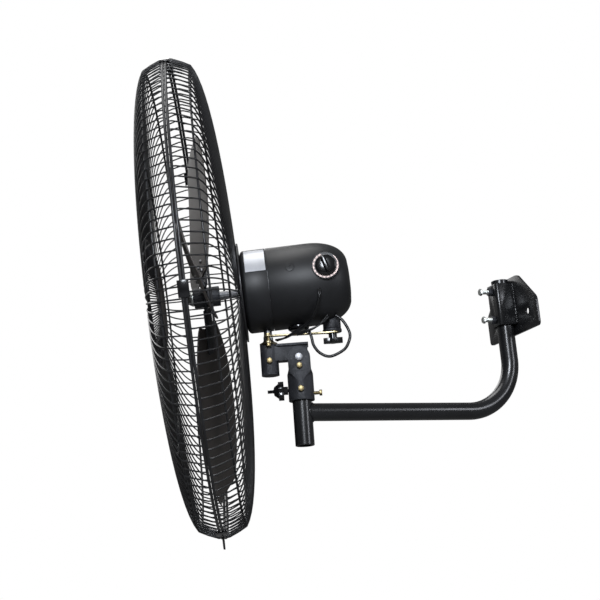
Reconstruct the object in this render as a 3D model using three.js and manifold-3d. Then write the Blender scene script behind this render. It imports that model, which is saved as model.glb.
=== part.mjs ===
// Wall mounted industrial fan with an oscillating head on a bent tube arm.
// Millimetres, +Z up. The origin is on the back face of the wall plate, level with
// the middle of the sleeve; +X points into the wall and the fan blows towards -X.

import * as THREE from 'three';
import { mergeVertices } from 'three/addons/utils/BufferGeometryUtils.js';
import Module from 'manifold-3d';

const wasm = await Module();
wasm.setup();

const DEG = Math.PI / 180;

// ---------------------------------------------------------------- driving sizes

const SEAT = 0.35;             // clearance where one piece seats on another
const RUNNING = 0.4;           // clearance round a piece that turns

// wall plate and sleeve
const PLATE_LENGTH = 180;
const PLATE_THICKNESS = 5;
const PLATE_BELOW = 54;        // plate below the middle of the sleeve
const PLATE_ABOVE = 48;
const PLATE_END_HEIGHT = 50;   // upright part of each end, under the cut corner
const PLATE_TOP_LENGTH = 68;
const PLATE_HOLE_R = 6.8;
const PLATE_HOLE_INSET = 35;   // from each end
const PLATE_HOLE_RISE = 32;    // above the lower edge
const SLEEVE_HEIGHT = 74;
const SLEEVE_WALL = 3;
const SLEEVE_FOLD_R = 6;
const TUBE_PLAY = 0.5;         // round the arm tube in its sleeve
const CLAMP_NUT_FLATS = 13;
const CLAMP_NUT_LENGTH = 7;
const CLAMP_BOLT_R = 4;
const CLAMP_BOLT_PROUD = 17;   // beyond the nut
const CLAMP_HEAD_FLATS = 11;
const CLAMP_HEAD_LENGTH = 4;
const CLAMP_SPACING = 50;

// bent tube arm
const ARM_R = 15;
const ARM_WALL = 2.5;
const ARM_REACH = 400;         // leg axis to stub axis
const ARM_DROP = 233;          // top of the leg to the run's centre line
const ARM_BEND_R = 88;
const ARM_RISE = 2 * DEG;      // the run rises towards the head
const ARM_PROUD = 8;           // tube above the sleeve
const STUB_R = 16;
const STUB_WALL = 2.5;
const STUB_BELOW = 56;
const STUB_ABOVE = 68;

// neck socket on the stub
const HEAD_YAW = -22 * DEG;    // head turned on the stub, as photographed
const SOCKET_R = 21.5;
const SOCKET_BOTTOM = 19;
const SOCKET_ROOF = 74;        // floor of the fork
const EAR_HALF_WIDTH = 18.7;
const EAR_OUTER = 21;
const EAR_GAP = 12;            // half of the fork's gap
const EAR_POINT = 47;          // lower point of the raised V on each ear
const TILT_PIN_Z = 90;
const TILT_PIN_R = 5;
const TILT_HEAD_R = 6.5;
const TILT_LOCK_Z = 75.5;
const SCREW_R = 3;
const SCREW_FLATS = 9;
const SCREW_HEAD = 4.5;
const FRONT_SCREW_Z = 36.5;
const REAR_SCREW_Z = 31;
const REAR_SCREW_LENGTH = 13;
const HAND_KNOB_Z = 38;
const HAND_KNOB_R = 16;
const HAND_KNOB_LENGTH = 18;
const HAND_KNOB_STEM = 7;

// tilt bracket
const LUG_R = 15.4;
const LUG_PLAY = 0.6;
const PIVOT_X = -49;           // oscillation axis, ahead of the stub axis
const PIVOT_BARREL_R = 14.9;
const PIVOT_BARREL_BOTTOM = 65;
const PIVOT_BARREL_TOP = 116;
const WEB_TOP = 112;
const WEB_BOTTOM = 88;
const FLANGE_T = 3.9;
const FLANGE_HALF_WIDTH = 15;
const FLANGE_REAR = 17;

// oscillating head: motor on its pivot
const PIVOT_SHAFT_R = 6;
const PIVOT_STUB_R = 7;
const PIVOT_NUT_FLATS = 13;
const PIVOT_NUT_BOTTOM = 124.6;
const PIVOT_NUT_TOP = 130.6;
const AXIS_HEIGHT = 212;       // motor axis over the run, at the pivot
const MOTOR_DROOP = 3 * DEG;   // motor axis dips to the front
const RIM_AHEAD = 116.6;       // rim plane ahead of the pivot, along the motor axis
const MOTOR_R = 70;
const MOTOR_WALL = 3;
const MOTOR_FRONT = 80;        // measured along the motor axis from the rim plane
const MOTOR_SEAM = 124;
const MOTOR_STRAIGHT = 192;
const MOTOR_REAR = 260;
const MOTOR_REAR_R = 24;
const MOTOR_FRONT_R = 62;
const SHAFT_R = 7;
const BEARING_R = 19;
const BEARING_WIDTH = 11;
const STATOR_SLOTS = 8;
const SLOT_WIDTH = 9;
const SLOT_BOTTOM = 50;
const WINDING_OVERHANG = 9;
const STATOR_LENGTH = 46;
const CORE_R = 32;
const CORE_LENGTH = 50;
const AIR_GAP = 1;

// speed control
const SWITCH_FACE = -46;
const DIAL_X = 221;
const DIAL_Z = 13;
const DIAL_R = 22;
const DIAL_FACE = 70.6;         // from the motor axis
const DIAL_T = 1.6;
const KNOB_R = 18;
const KNOB_SKIRT = 5;
const KNOB_GRIP = 9;
const KNOB_GRIP_WIDTH = 8;
const SWITCH_SIZE = 26;
const SWITCH_DEPTH = 20;

const CAPACITOR_R = 12;
const CAPACITOR_LENGTH = 34;
const LABEL_FRONT = 88;
const LABEL_REAR = 122;
const LABEL_T = 0.5;
const LABEL_LOW = 15 * DEG;
const LABEL_HIGH = 62 * DEG;
const TERMINAL_X = 165;
const TERMINAL_R = 18;
const TERMINAL_BOTTOM = 76;

// oscillation drive
const CRANK_X = 108;           // behind the pivot
const CRANK_THROW = 11;
const CRANK_R = 16;
const CRANK_T = 5;
const CRANK_PIN_R = 3;
const CRANK_TOP = 136.6;
const ANCHOR_OFFSET = 18;      // pin from the pivot axis, towards the dial's side
const ANCHOR_PIN_R = 2.5;
const ANCHOR_T = 4;
const ROD_T = 3;
const ROD_HALF_WIDTH = 3.2;
const ROD_EYE_R = 7;
const ROD_TOP = 130.8;
const ROD_SLOT_HALF = 3;        // play for the crank pin along the rod
const WING_KNOB_HALF = 16;
const WING_KNOB_T = 9;
const WING_HUB_R = 7;
const WING_HUB_TOP = 126.8;
const WING_HUB_LENGTH = 16;

const GEAR_CASE_R = 15;

// guard
const GUARD_R = 403;
const GUARD_DEPTH = 76;
const GUARD_WIRES = 50;
const WIRE_HALF_WIDTH = 1.5;
const WIRE_HEIGHT = 3;
const RIM_WIDTH = 4.6;
const RIM_HEIGHT = 5;
const RING_WIDTH = 4;
const SHOULDER_R = 386;
const MID_R = 256;
const REAR_RING_R = 78;
const FRONT_RING_R = 62;
const DISH_R = 118;
const DISH_DEPTH = 58;
const BADGE_R = 57;
const BADGE_T = 2.4;
const CLIPS = 5;
const CLIP_FIRST = 26.5;        // in wire pitches, so each clip sits between two wires
const CLIP_LENGTH = 26;
const CLIP_T = 2;
const TAB_T = 3;
const TAB_HALF = 12;
const TAB_RISE = 18;
const TAB_HOLE_R = 5;
const MOUNT_PLATE_R = 84;
const MOUNT_PLATE_T = 2.5;

// fan rotor
const HUB_R = 17;
const HUB_FRONT = -8;
const HUB_REAR = 40;
const SPIDER_X = 14;
const SPIDER_T = 3;
const SPIDER_R = 96;
const SPIDER_ARM_HALF = 15;
const BLADES = 3;
const BLADE_ROOT = 52;
const BLADE_TIP = 352;
const BLADE_T = 2;
const BLADE_BACK = 13;          // back face of the blades where they seat on the spider
const BLADE_FIRST = 84 * DEG;
const BLADE_ROOT_PITCH = 20 * DEG;
const BLADE_TIP_PITCH = 8 * DEG;
const SPINNER_R = 13;

// cables
const CABLE_R = 2.5;

// ---------------------------------------------------------------- finishes

const finish = (color, roughness, metalness) => (
  new THREE.MeshStandardMaterial({ color, roughness, metalness })
);
const blackPaint = finish(0x17181c, 0.38, 0.2);
const castBlack = finish(0x24262b, 0.6, 0.3);
const motorBlack = finish(0x1d1e22, 0.45, 0.1);
const zinc = finish(0xb9bdb8, 0.35, 0.9);
const brass = finish(0xb39a55, 0.35, 0.9);
const steel = finish(0x8b8e92, 0.35, 0.9);
const bladeSteel = finish(0x4d4743, 0.45, 0.5);
const blackPlastic = finish(0x101114, 0.25, 0);
const dialPrint = finish(0xd8bfb6, 0.4, 0.1);
const copper = finish(0x9c5a38, 0.4, 0.8);
const rubber = finish(0x121214, 0.5, 0);

// ---------------------------------------------------------------- solid helpers

const AXES = {
  x: new THREE.Matrix4().makeBasis(
    new THREE.Vector3(0, 1, 0), new THREE.Vector3(0, 0, 1), new THREE.Vector3(1, 0, 0)),
  y: new THREE.Matrix4().makeBasis(
    new THREE.Vector3(1, 0, 0), new THREE.Vector3(0, 0, 1), new THREE.Vector3(0, -1, 0)),
  z: new THREE.Matrix4(),
};

// a closed, welded copy of a geometry with its faces pointing out
function weld(geometry) {
  const bare = geometry.clone();
  bare.deleteAttribute('normal');
  bare.deleteAttribute('uv');
  const merged = mergeVertices(bare, 1e-4);
  const index = Array.from(merged.index.array);
  const kept = [];
  for (let i = 0; i < index.length; i += 3) {
    const [a, b, c] = index.slice(i, i + 3);
    if (a !== b && b !== c && c !== a) kept.push(a, b, c);
  }
  const p = merged.attributes.position;
  const corner = (i) => new THREE.Vector3().fromBufferAttribute(p, i);
  let volume = 0;
  for (let i = 0; i < kept.length; i += 3) {
    volume += corner(kept[i]).dot(corner(kept[i + 1]).cross(corner(kept[i + 2])));
  }
  if (volume < 0) kept.reverse();
  merged.setIndex(kept);
  return merged;
}

function toSolid(geometry) {
  const g = weld(geometry);
  return new wasm.Manifold(new wasm.Mesh({
    numProp: 3,
    vertProperties: new Float32Array(g.attributes.position.array),
    triVerts: new Uint32Array(g.index.array),
  }));
}

function toGeometry(solid) {
  const mesh = solid.getMesh();
  const g = new THREE.BufferGeometry();
  g.setAttribute('position', new THREE.BufferAttribute(mesh.vertProperties, 3));
  g.setIndex(new THREE.BufferAttribute(mesh.triVerts, 1));
  return g;
}

const join = (first, ...rest) => toGeometry(
  rest.reduce((sum, g) => sum.add(toSolid(g)), toSolid(first)));
const cut = (first, ...tools) => toGeometry(
  tools.reduce((left, g) => left.subtract(toSolid(g)), toSolid(first)));

// a prism over an outline drawn across the axis: (y, z) for x, (x, z) for y, (x, y) for z
function prism(axis, shape, from, to, sides = 6) {
  const g = new THREE.ExtrudeGeometry(
    shape, { depth: to - from, bevelEnabled: false, curveSegments: sides });
  g.applyMatrix4(AXES[axis]);
  if (axis === 'x') g.translate(from, 0, 0);
  if (axis === 'y') g.translate(0, to, 0);
  if (axis === 'z') g.translate(0, 0, from);
  return weld(g);
}

const outline = (points) => new THREE.Shape(points.map(([u, v]) => new THREE.Vector2(u, v)));

function disc(r, u = 0, v = 0) {
  return new THREE.Shape().absarc(u, v, r, 0, 2 * Math.PI);
}

function ring(rOut, rIn, u = 0, v = 0) {
  const shape = disc(rOut, u, v);
  shape.holes.push(new THREE.Path().absarc(u, v, rIn, 0, 2 * Math.PI, true));
  return shape;
}

function hexagon(flats, u = 0, v = 0) {
  const r = flats / 2 / Math.cos(30 * DEG);
  return outline([0, 1, 2, 3, 4, 5].map((i) => (
    [u + r * Math.cos((i * 60 + 30) * DEG), v + r * Math.sin((i * 60 + 30) * DEG)])));
}

// a solid turned about one axis: each profile point is [along the axis, radius]
function turned(axis, profile, sides) {
  const g = new THREE.LatheGeometry(profile.map(([s, r]) => new THREE.Vector2(r, s)), sides);
  if (axis === 'x') g.rotateZ(-Math.PI / 2);
  if (axis === 'z') g.rotateX(Math.PI / 2);
  return weld(g);
}

const box = (x0, x1, y0, y1, z0, z1) => {
  const g = new THREE.BoxGeometry(x1 - x0, y1 - y0, z1 - z0);
  g.translate((x0 + x1) / 2, (y0 + y1) / 2, (z0 + z1) / 2);
  return weld(g);
};

// a curve that is sampled only at its stations, each a point and a direction
class Route extends THREE.Curve {
  constructor(stations) {
    super();
    this.stations = stations;
  }

  station(t) {
    return this.stations[Math.round(t * (this.stations.length - 1))];
  }

  getPointAt(t) {
    return this.station(t).point.clone();
  }

  getTangentAt(t) {
    return this.station(t).along.clone();
  }
}

function sweep(shape, stations, sides) {
  return weld(new THREE.ExtrudeGeometry(shape, {
    extrudePath: new Route(stations), steps: stations.length - 1, curveSegments: sides }));
}

// even stations on a smooth curve through hand-set points
function cableStations(points, steps) {
  const curve = new THREE.CatmullRomCurve3(
    points.map((p) => new THREE.Vector3(...p)), false, 'centripetal');
  return Array.from({ length: steps + 1 }, (_, i) => (
    { point: curve.getPointAt(i / steps), along: curve.getTangentAt(i / steps) }));
}

// ---------------------------------------------------------------- scene graph

const group = new THREE.Group();

function add(parent, name, geometry, material) {
  const mesh = new THREE.Mesh(geometry, material);
  mesh.name = name;
  parent.add(mesh);
  return mesh;
}

function frameAt(parent, x, y, z) {
  const frame = new THREE.Group();
  frame.position.set(x, y, z);
  parent.add(frame);
  return frame;
}

// ---------------------------------------------------------------- wall bracket

const LEG_X = -(PLATE_THICKNESS + TUBE_PLAY + ARM_R);
const SLEEVE_INNER = ARM_R + TUBE_PLAY;
const SLEEVE_OUTER = SLEEVE_INNER + SLEEVE_WALL;
const SLEEVE_FRONT = LEG_X - SLEEVE_OUTER;

function wallBracket() {
  const end = PLATE_LENGTH / 2;
  const cutCorner = PLATE_END_HEIGHT - PLATE_BELOW;
  const plate = outline([
    [-end, -PLATE_BELOW], [end, -PLATE_BELOW], [end, cutCorner],
    [PLATE_TOP_LENGTH / 2, PLATE_ABOVE], [-PLATE_TOP_LENGTH / 2, PLATE_ABOVE],
    [-end, cutCorner],
  ]);
  for (const side of [-1, 1]) {
    plate.holes.push(new THREE.Path().absarc(
      side * (end - PLATE_HOLE_INSET), PLATE_HOLE_RISE - PLATE_BELOW,
      PLATE_HOLE_R, 0, 2 * Math.PI, true));
  }
  add(group, 'wall_plate', prism('x', plate, -PLATE_THICKNESS, 0, 8), blackPaint);

  const w = SLEEVE_OUTER;
  const f = SLEEVE_FRONT;
  const c = SLEEVE_FOLD_R;
  const back = -PLATE_THICKNESS - SEAT;
  const channel = new THREE.Shape();
  channel.moveTo(back, -w);
  channel.lineTo(back, -SLEEVE_INNER);
  channel.lineTo(f + SLEEVE_WALL + c / 2, -SLEEVE_INNER);
  channel.absarc(f + SLEEVE_WALL + c / 2, -SLEEVE_INNER + c / 2, c / 2, -90 * DEG, 180 * DEG, true);
  channel.absarc(f + SLEEVE_WALL + c / 2, SLEEVE_INNER - c / 2, c / 2, 180 * DEG, 90 * DEG, true);
  channel.lineTo(back, SLEEVE_INNER);
  channel.lineTo(back, w);
  channel.absarc(f + c, w - c, c, 90 * DEG, 180 * DEG, false);
  channel.absarc(f + c, -w + c, c, 180 * DEG, 270 * DEG, false);
  const half = SLEEVE_HEIGHT / 2;
  let sleeve = prism('z', channel, -half, half, 3);
  for (const z of [-CLAMP_SPACING / 2, CLAMP_SPACING / 2]) {
    sleeve = cut(sleeve, prism('x', disc(CLAMP_BOLT_R + SEAT, 0, z), f - 1, f + SLEEVE_WALL + 1, 5));
  }
  add(group, 'sleeve_channel', sleeve, blackPaint);

  for (const [name, z] of [['upper', CLAMP_SPACING / 2], ['lower', -CLAMP_SPACING / 2]]) {
    const nutFront = f - SEAT - CLAMP_NUT_LENGTH;
    const nut = cut(
      prism('x', hexagon(CLAMP_NUT_FLATS, 0, z), nutFront, f - SEAT),
      prism('x', disc(CLAMP_BOLT_R + SEAT, 0, z), nutFront - 1, f, 5));
    add(group, `${name}_clamp_nut`, nut, castBlack);
    const headBack = nutFront - CLAMP_BOLT_PROUD + CLAMP_HEAD_LENGTH;
    const bolt = join(
      prism('x', disc(CLAMP_BOLT_R, 0, z), headBack - 1, LEG_X - ARM_R - SEAT, 5),
      prism('x', hexagon(CLAMP_HEAD_FLATS, 0, z), headBack - CLAMP_HEAD_LENGTH, headBack));
    add(group, `${name}_clamp_bolt`, bolt, zinc);
  }
}

// ---------------------------------------------------------------- arm

const LEG_TOP = SLEEVE_HEIGHT / 2 + ARM_PROUD;
const RUN_Z = LEG_TOP - ARM_DROP;
const STUB_X = LEG_X - ARM_REACH * Math.cos(ARM_RISE);
const STUB_Z = RUN_Z + ARM_REACH * Math.sin(ARM_RISE);

function armTubes() {
  // the run, the bend and the leg, from the stub to the wall, in the plane y = 0
  const turn = 90 * DEG + ARM_RISE;
  const tangent = ARM_BEND_R * Math.tan(turn / 2);
  const runOut = new THREE.Vector3(Math.cos(ARM_RISE), 0, -Math.sin(ARM_RISE));
  const up = new THREE.Vector3(0, 0, 1);
  const corner = new THREE.Vector3(LEG_X, 0, RUN_Z);
  const bendStart = corner.clone().addScaledVector(runOut, -tangent);
  const inward = new THREE.Vector3(Math.sin(ARM_RISE), 0, Math.cos(ARM_RISE));
  const centre = bendStart.clone().addScaledVector(inward, ARM_BEND_R);
  const stations = [{ point: new THREE.Vector3(STUB_X, 0, STUB_Z), along: runOut.clone() }];
  const steps = 9;
  for (let i = 0; i <= steps; i += 1) {
    const a = turn * (i / steps);
    const along = runOut.clone().applyAxisAngle(new THREE.Vector3(0, -1, 0), a);
    const out = inward.clone().negate().applyAxisAngle(new THREE.Vector3(0, -1, 0), a);
    stations.push({ point: centre.clone().addScaledVector(out, ARM_BEND_R), along });
  }
  stations.push({ point: new THREE.Vector3(LEG_X, 0, LEG_TOP), along: up });
  const tube = sweep(ring(ARM_R, ARM_R - ARM_WALL), stations, 7);

  const stubFrame = frameAt(group, STUB_X, 0, STUB_Z);
  stubFrame.rotation.y = ARM_RISE;
  const stub = prism('z', ring(STUB_R, STUB_R - STUB_WALL), -STUB_BELOW, STUB_ABOVE, 8);
  const saddle = prism('z', disc(STUB_R + SEAT), -STUB_BELOW, STUB_ABOVE, 8);
  saddle.rotateY(ARM_RISE);
  saddle.translate(STUB_X, 0, STUB_Z);
  add(group, 'arm_tube', cut(tube, saddle), blackPaint);
  add(stubFrame, 'stub_tube', stub, blackPaint);
  return stubFrame;
}

// ---------------------------------------------------------------- neck socket

function hexScrew(axis, u, v, shankFrom, shankTo, headFrom, headTo) {
  return join(
    prism(axis, disc(SCREW_R, u, v), shankFrom, shankTo, 4),
    prism(axis, hexagon(SCREW_FLATS, u, v), headFrom, headTo));
}

function neckSocket(neck) {
  const ear = new THREE.Shape();
  ear.moveTo(-EAR_HALF_WIDTH, SOCKET_ROOF - 8);
  ear.lineTo(0, EAR_POINT);
  ear.lineTo(EAR_HALF_WIDTH, SOCKET_ROOF - 8);
  ear.absarc(0, TILT_PIN_Z, EAR_HALF_WIDTH, 0, Math.PI, false);
  const barrel = turned('z', [
    [SOCKET_BOTTOM, 0], [SOCKET_BOTTOM, SOCKET_R], [SOCKET_ROOF - 10, SOCKET_R],
    [SOCKET_ROOF, EAR_HALF_WIDTH], [SOCKET_ROOF, 0]], 20);
  let socket = join(barrel, prism('y', ear, -EAR_OUTER, EAR_OUTER, 6));
  socket = cut(
    socket,
    box(-SOCKET_R - 1, SOCKET_R + 1, -EAR_GAP, EAR_GAP, SOCKET_ROOF, TILT_PIN_Z + SOCKET_R),
    prism('z', disc(STUB_R + SEAT), SOCKET_BOTTOM - 1, STUB_ABOVE + SEAT, 8),
    prism('y', disc(TILT_PIN_R + SEAT, 0, TILT_PIN_Z), -EAR_OUTER - 1, EAR_OUTER + 1, 5),
    prism('y', disc(SCREW_R + SEAT, 0, FRONT_SCREW_Z), -SOCKET_R - 1, -STUB_R + 1, 4),
    prism('y', disc(SCREW_R + SEAT, 0, TILT_LOCK_Z), -EAR_OUTER - 1, -EAR_GAP + 1, 4),
    prism('x', disc(SCREW_R + SEAT, 0, REAR_SCREW_Z), STUB_R - 1, SOCKET_R + 1, 4),
    prism('x', disc(SCREW_R + SEAT, 0, HAND_KNOB_Z), -SOCKET_R - 1, -STUB_R + 1, 4));
  add(neck, 'neck_socket', socket, castBlack);

  const seatY = -(SOCKET_R + SEAT);
  add(neck, 'socket_front_screw', hexScrew(
    'y', 0, FRONT_SCREW_Z, seatY - 1, -STUB_R - SEAT, seatY - SCREW_HEAD, seatY), brass);
  add(neck, 'socket_rear_screw', hexScrew(
    'x', 0, REAR_SCREW_Z, STUB_R + SEAT, SOCKET_R + REAR_SCREW_LENGTH,
    SOCKET_R + REAR_SCREW_LENGTH - SCREW_HEAD, SOCKET_R + REAR_SCREW_LENGTH), brass);
  const earSeat = -(EAR_OUTER + SEAT);
  add(neck, 'tilt_lock_screw', hexScrew(
    'y', 0, TILT_LOCK_Z, earSeat - 1, -EAR_GAP - SEAT, earSeat - SCREW_HEAD, earSeat), brass);
  add(neck, 'tilt_pin', join(
    prism('y', disc(TILT_PIN_R, 0, TILT_PIN_Z), earSeat - 1, -earSeat + 3, 5),
    prism('y', disc(TILT_HEAD_R, 0, TILT_PIN_Z), earSeat - 2.5, earSeat, 6)), steel);
  add(neck, 'tilt_pin_nut', cut(
    prism('y', hexagon(2 * TILT_HEAD_R, 0, TILT_PIN_Z), -earSeat, -earSeat + 5),
    prism('y', disc(TILT_PIN_R + SEAT, 0, TILT_PIN_Z), -earSeat - 1, -earSeat + 6, 5)), steel);

  // fluted hand knob on its clamp screw
  const flutes = 7;
  const rim = Array.from({ length: flutes * 4 }, (_, i) => {
    const r = HAND_KNOB_R * (i % 4 < 2 ? 1 : 0.84);
    const a = ((i + 0.5) / (flutes * 4)) * 2 * Math.PI;
    return [r * Math.cos(a), HAND_KNOB_Z + r * Math.sin(a)];
  });
  const knobBack = -SOCKET_R - RUNNING - HAND_KNOB_STEM;
  const knob = join(
    prism('x', disc(SCREW_R, 0, HAND_KNOB_Z), knobBack - HAND_KNOB_LENGTH - 9, -STUB_R - SEAT, 4),
    prism('x', outline(rim), knobBack - HAND_KNOB_LENGTH / 2, knobBack),
    turned('x', [
      [0, 0], [0, HAND_KNOB_R * 0.8], [-HAND_KNOB_LENGTH * 0.4, HAND_KNOB_R * 0.45],
      [-HAND_KNOB_LENGTH * 0.5, 0]], 10)
      .translate(knobBack - HAND_KNOB_LENGTH / 2 + 0.1, 0, HAND_KNOB_Z),
    prism('x', disc(7, 0, HAND_KNOB_Z), knobBack - 1, knobBack + HAND_KNOB_STEM, 5));
  add(neck, 'hand_knob', knob, blackPlastic);
}

// ---------------------------------------------------------------- tilt bracket

function tiltBracket(neck) {
  const halfLug = EAR_GAP - LUG_PLAY;
  const web = new THREE.Shape();
  web.moveTo(PIVOT_X, WEB_BOTTOM);
  web.lineTo(-LUG_R - 4, WEB_BOTTOM);
  web.absarc(0, TILT_PIN_Z, LUG_R, 200 * DEG, 360 * DEG, false);
  web.lineTo(LUG_R, WEB_TOP + 0.5);
  web.lineTo(PIVOT_X, WEB_TOP + 0.5);
  const flangeFront = PIVOT_X + PIVOT_BARREL_R - 2;
  let bracket = join(
    prism('y', web, -halfLug, halfLug, 5),
    box(flangeFront, FLANGE_REAR, -FLANGE_HALF_WIDTH, FLANGE_HALF_WIDTH, WEB_TOP, WEB_TOP + FLANGE_T),
    prism('z', disc(PIVOT_BARREL_R, PIVOT_X, 0), PIVOT_BARREL_BOTTOM, PIVOT_BARREL_TOP, 9));
  bracket = cut(
    bracket,
    prism('z', disc(PIVOT_SHAFT_R + RUNNING, PIVOT_X, 0),
      PIVOT_BARREL_BOTTOM + 6, PIVOT_BARREL_TOP + 1, 6),
    prism('y', disc(TILT_PIN_R + RUNNING, 0, TILT_PIN_Z), -EAR_OUTER, EAR_OUTER, 5),
    prism('y', disc(SCREW_R + SEAT, PIVOT_X, WEB_BOTTOM), -PIVOT_BARREL_R - 1, -PIVOT_SHAFT_R, 4));
  add(neck, 'tilt_bracket', bracket, castBlack);

  const seat = -(PIVOT_BARREL_R + SEAT);
  add(neck, 'pivot_stop_screw', hexScrew(
    'y', PIVOT_X, WEB_BOTTOM, seat - 1, -PIVOT_SHAFT_R - RUNNING, seat - SCREW_HEAD, seat), brass);

  // arm that holds the fixed end of the link rod, and its pin
  const plateBottom = PIVOT_BARREL_TOP + SEAT;
  const plate = new THREE.Shape();
  plate.absarc(PIVOT_X, 0, PIVOT_BARREL_R, 0, Math.PI, false);
  plate.absarc(PIVOT_X, -ANCHOR_OFFSET, ROD_EYE_R, Math.PI, 2 * Math.PI, false);
  const hole = new THREE.Path();
  hole.absarc(PIVOT_X, 0, PIVOT_SHAFT_R + RUNNING, 0, 2 * Math.PI, true);
  plate.holes.push(hole);
  const anchor = cut(
    prism('z', plate, plateBottom, plateBottom + ANCHOR_T, 6),
    prism('z', disc(ANCHOR_PIN_R + SEAT, PIVOT_X, -ANCHOR_OFFSET), plateBottom - 1, 140, 4));
  add(neck, 'link_anchor', anchor, zinc);
  const under = plateBottom - SEAT;
  add(neck, 'anchor_pin', join(
    prism('z', disc(ANCHOR_PIN_R, PIVOT_X, -ANCHOR_OFFSET), under - 1, ROD_TOP + 1, 4),
    prism('z', disc(ANCHOR_PIN_R + 2, PIVOT_X, -ANCHOR_OFFSET - 1.2), under - 4, under, 5),
    prism('z', disc(ANCHOR_PIN_R + 2, PIVOT_X, -ANCHOR_OFFSET), ROD_TOP + SEAT, ROD_TOP + 3, 5)),
  brass);
}

// ---------------------------------------------------------------- motor

// profile of the rear dome, moved out by an offset
function dome(offset) {
  const bulge = MOTOR_REAR - MOTOR_STRAIGHT;
  const points = [];
  for (let i = 0; i <= 6; i += 1) {
    const a = (i / 6) * 78 * DEG;
    points.push([
      MOTOR_STRAIGHT + bulge * Math.sin(a) ** 0.92 + offset,
      MOTOR_REAR_R + (MOTOR_R - MOTOR_REAR_R) * Math.cos(a) ** 0.8 + offset]);
  }
  points.push([MOTOR_REAR + offset, MOTOR_REAR_R + offset]);
  return points;
}

function motor(head) {
  const wall = MOTOR_WALL;
  const inner = MOTOR_R - wall;
  const front = turned('x', [
    [MOTOR_FRONT, SHAFT_R + RUNNING], [MOTOR_FRONT, MOTOR_FRONT_R], [MOTOR_FRONT + 2, MOTOR_R - 4],
    [MOTOR_FRONT + 6, MOTOR_R], [MOTOR_SEAM, MOTOR_R], [MOTOR_SEAM, inner],
    [MOTOR_FRONT + 8, inner], [MOTOR_FRONT + wall, MOTOR_FRONT_R - wall],
    [MOTOR_FRONT + wall, BEARING_R + SEAT + wall],
    [MOTOR_FRONT + wall + BEARING_WIDTH, BEARING_R + SEAT + wall],
    [MOTOR_FRONT + wall + BEARING_WIDTH, BEARING_R + SEAT], [MOTOR_FRONT + wall, BEARING_R + SEAT],
    [MOTOR_FRONT + wall, SHAFT_R + RUNNING], [MOTOR_FRONT, SHAFT_R + RUNNING]], 24);
  add(head, 'motor_front_cover', front, motorBlack);

  const shell = (offset) => dome(-offset);
  const seam = MOTOR_SEAM + SEAT;
  const rearBearing = MOTOR_STRAIGHT + 8;
  const tubeR = BEARING_R + SEAT + wall;
  const rear = turned('x', [
    [seam, MOTOR_R], ...shell(0), [MOTOR_REAR, 0],
    [MOTOR_REAR - wall, 0], [MOTOR_REAR - wall, BEARING_R + SEAT],
    [rearBearing, BEARING_R + SEAT], [rearBearing, tubeR], [MOTOR_REAR - wall - 2, tubeR],
    ...shell(wall).reverse().slice(1), [seam, inner], [seam, MOTOR_R]], 24);
  const pad = prism('y', disc(DIAL_R + 1.5, DIAL_X, DIAL_Z), -DIAL_FACE, -DIAL_FACE + 24, 8);
  const boss = prism('y', disc(10, DIAL_X, DIAL_Z), -DIAL_FACE, SWITCH_FACE - SEAT, 6);
  const stem = prism('y', disc(4 + SEAT, DIAL_X, DIAL_Z), -DIAL_FACE - 2, SWITCH_FACE, 4);
  const cavity = turned('x', [
    [seam, 0], [seam, inner], ...shell(wall), [MOTOR_REAR - wall, 0]], 24);
  const cover = toSolid(rear).add(toSolid(pad).subtract(toSolid(cavity)))
    .add(toSolid(boss)).subtract(toSolid(stem));
  add(head, 'motor_rear_cover', toGeometry(cover), motorBlack);

  const midX = (MOTOR_SEAM + MOTOR_STRAIGHT) / 2 - 14;
  const half = STATOR_LENGTH / 2;
  const slots = [];
  const bars = [];
  for (let i = 0; i < STATOR_SLOTS; i += 1) {
    const a = (i / STATOR_SLOTS) * 2 * Math.PI;
    const w = SLOT_WIDTH / 2;
    slots.push(box(midX - half - 1, midX + half + 1, -w, w, 0, SLOT_BOTTOM).rotateX(a));
    bars.push(box(midX - half - 2, midX + half + 2, -w + SEAT, w - SEAT,
      CORE_R + AIR_GAP + 2, SLOT_BOTTOM - SEAT).rotateX(a));
  }
  add(head, 'stator_core', cut(prism(
    'x', ring(inner - SEAT, CORE_R + AIR_GAP), midX - half, midX + half, 12), ...slots), steel);
  const windingRing = ring(SLOT_BOTTOM + 3, CORE_R + AIR_GAP + 2);
  add(head, 'stator_winding', join(
    prism('x', windingRing, midX - half - SEAT - WINDING_OVERHANG, midX - half - SEAT, 6),
    prism('x', windingRing, midX + half + SEAT, midX + half + SEAT + WINDING_OVERHANG, 6),
    ...bars), copper);
  return midX;
}

function bearings(head, frontX, rearX) {
  for (const [name, x] of [['front_bearing', frontX], ['rear_bearing', rearX]]) {
    add(head, name, prism('x', ring(BEARING_R, SHAFT_R + SEAT), x, x + BEARING_WIDTH, 7), steel);
  }
}

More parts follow.
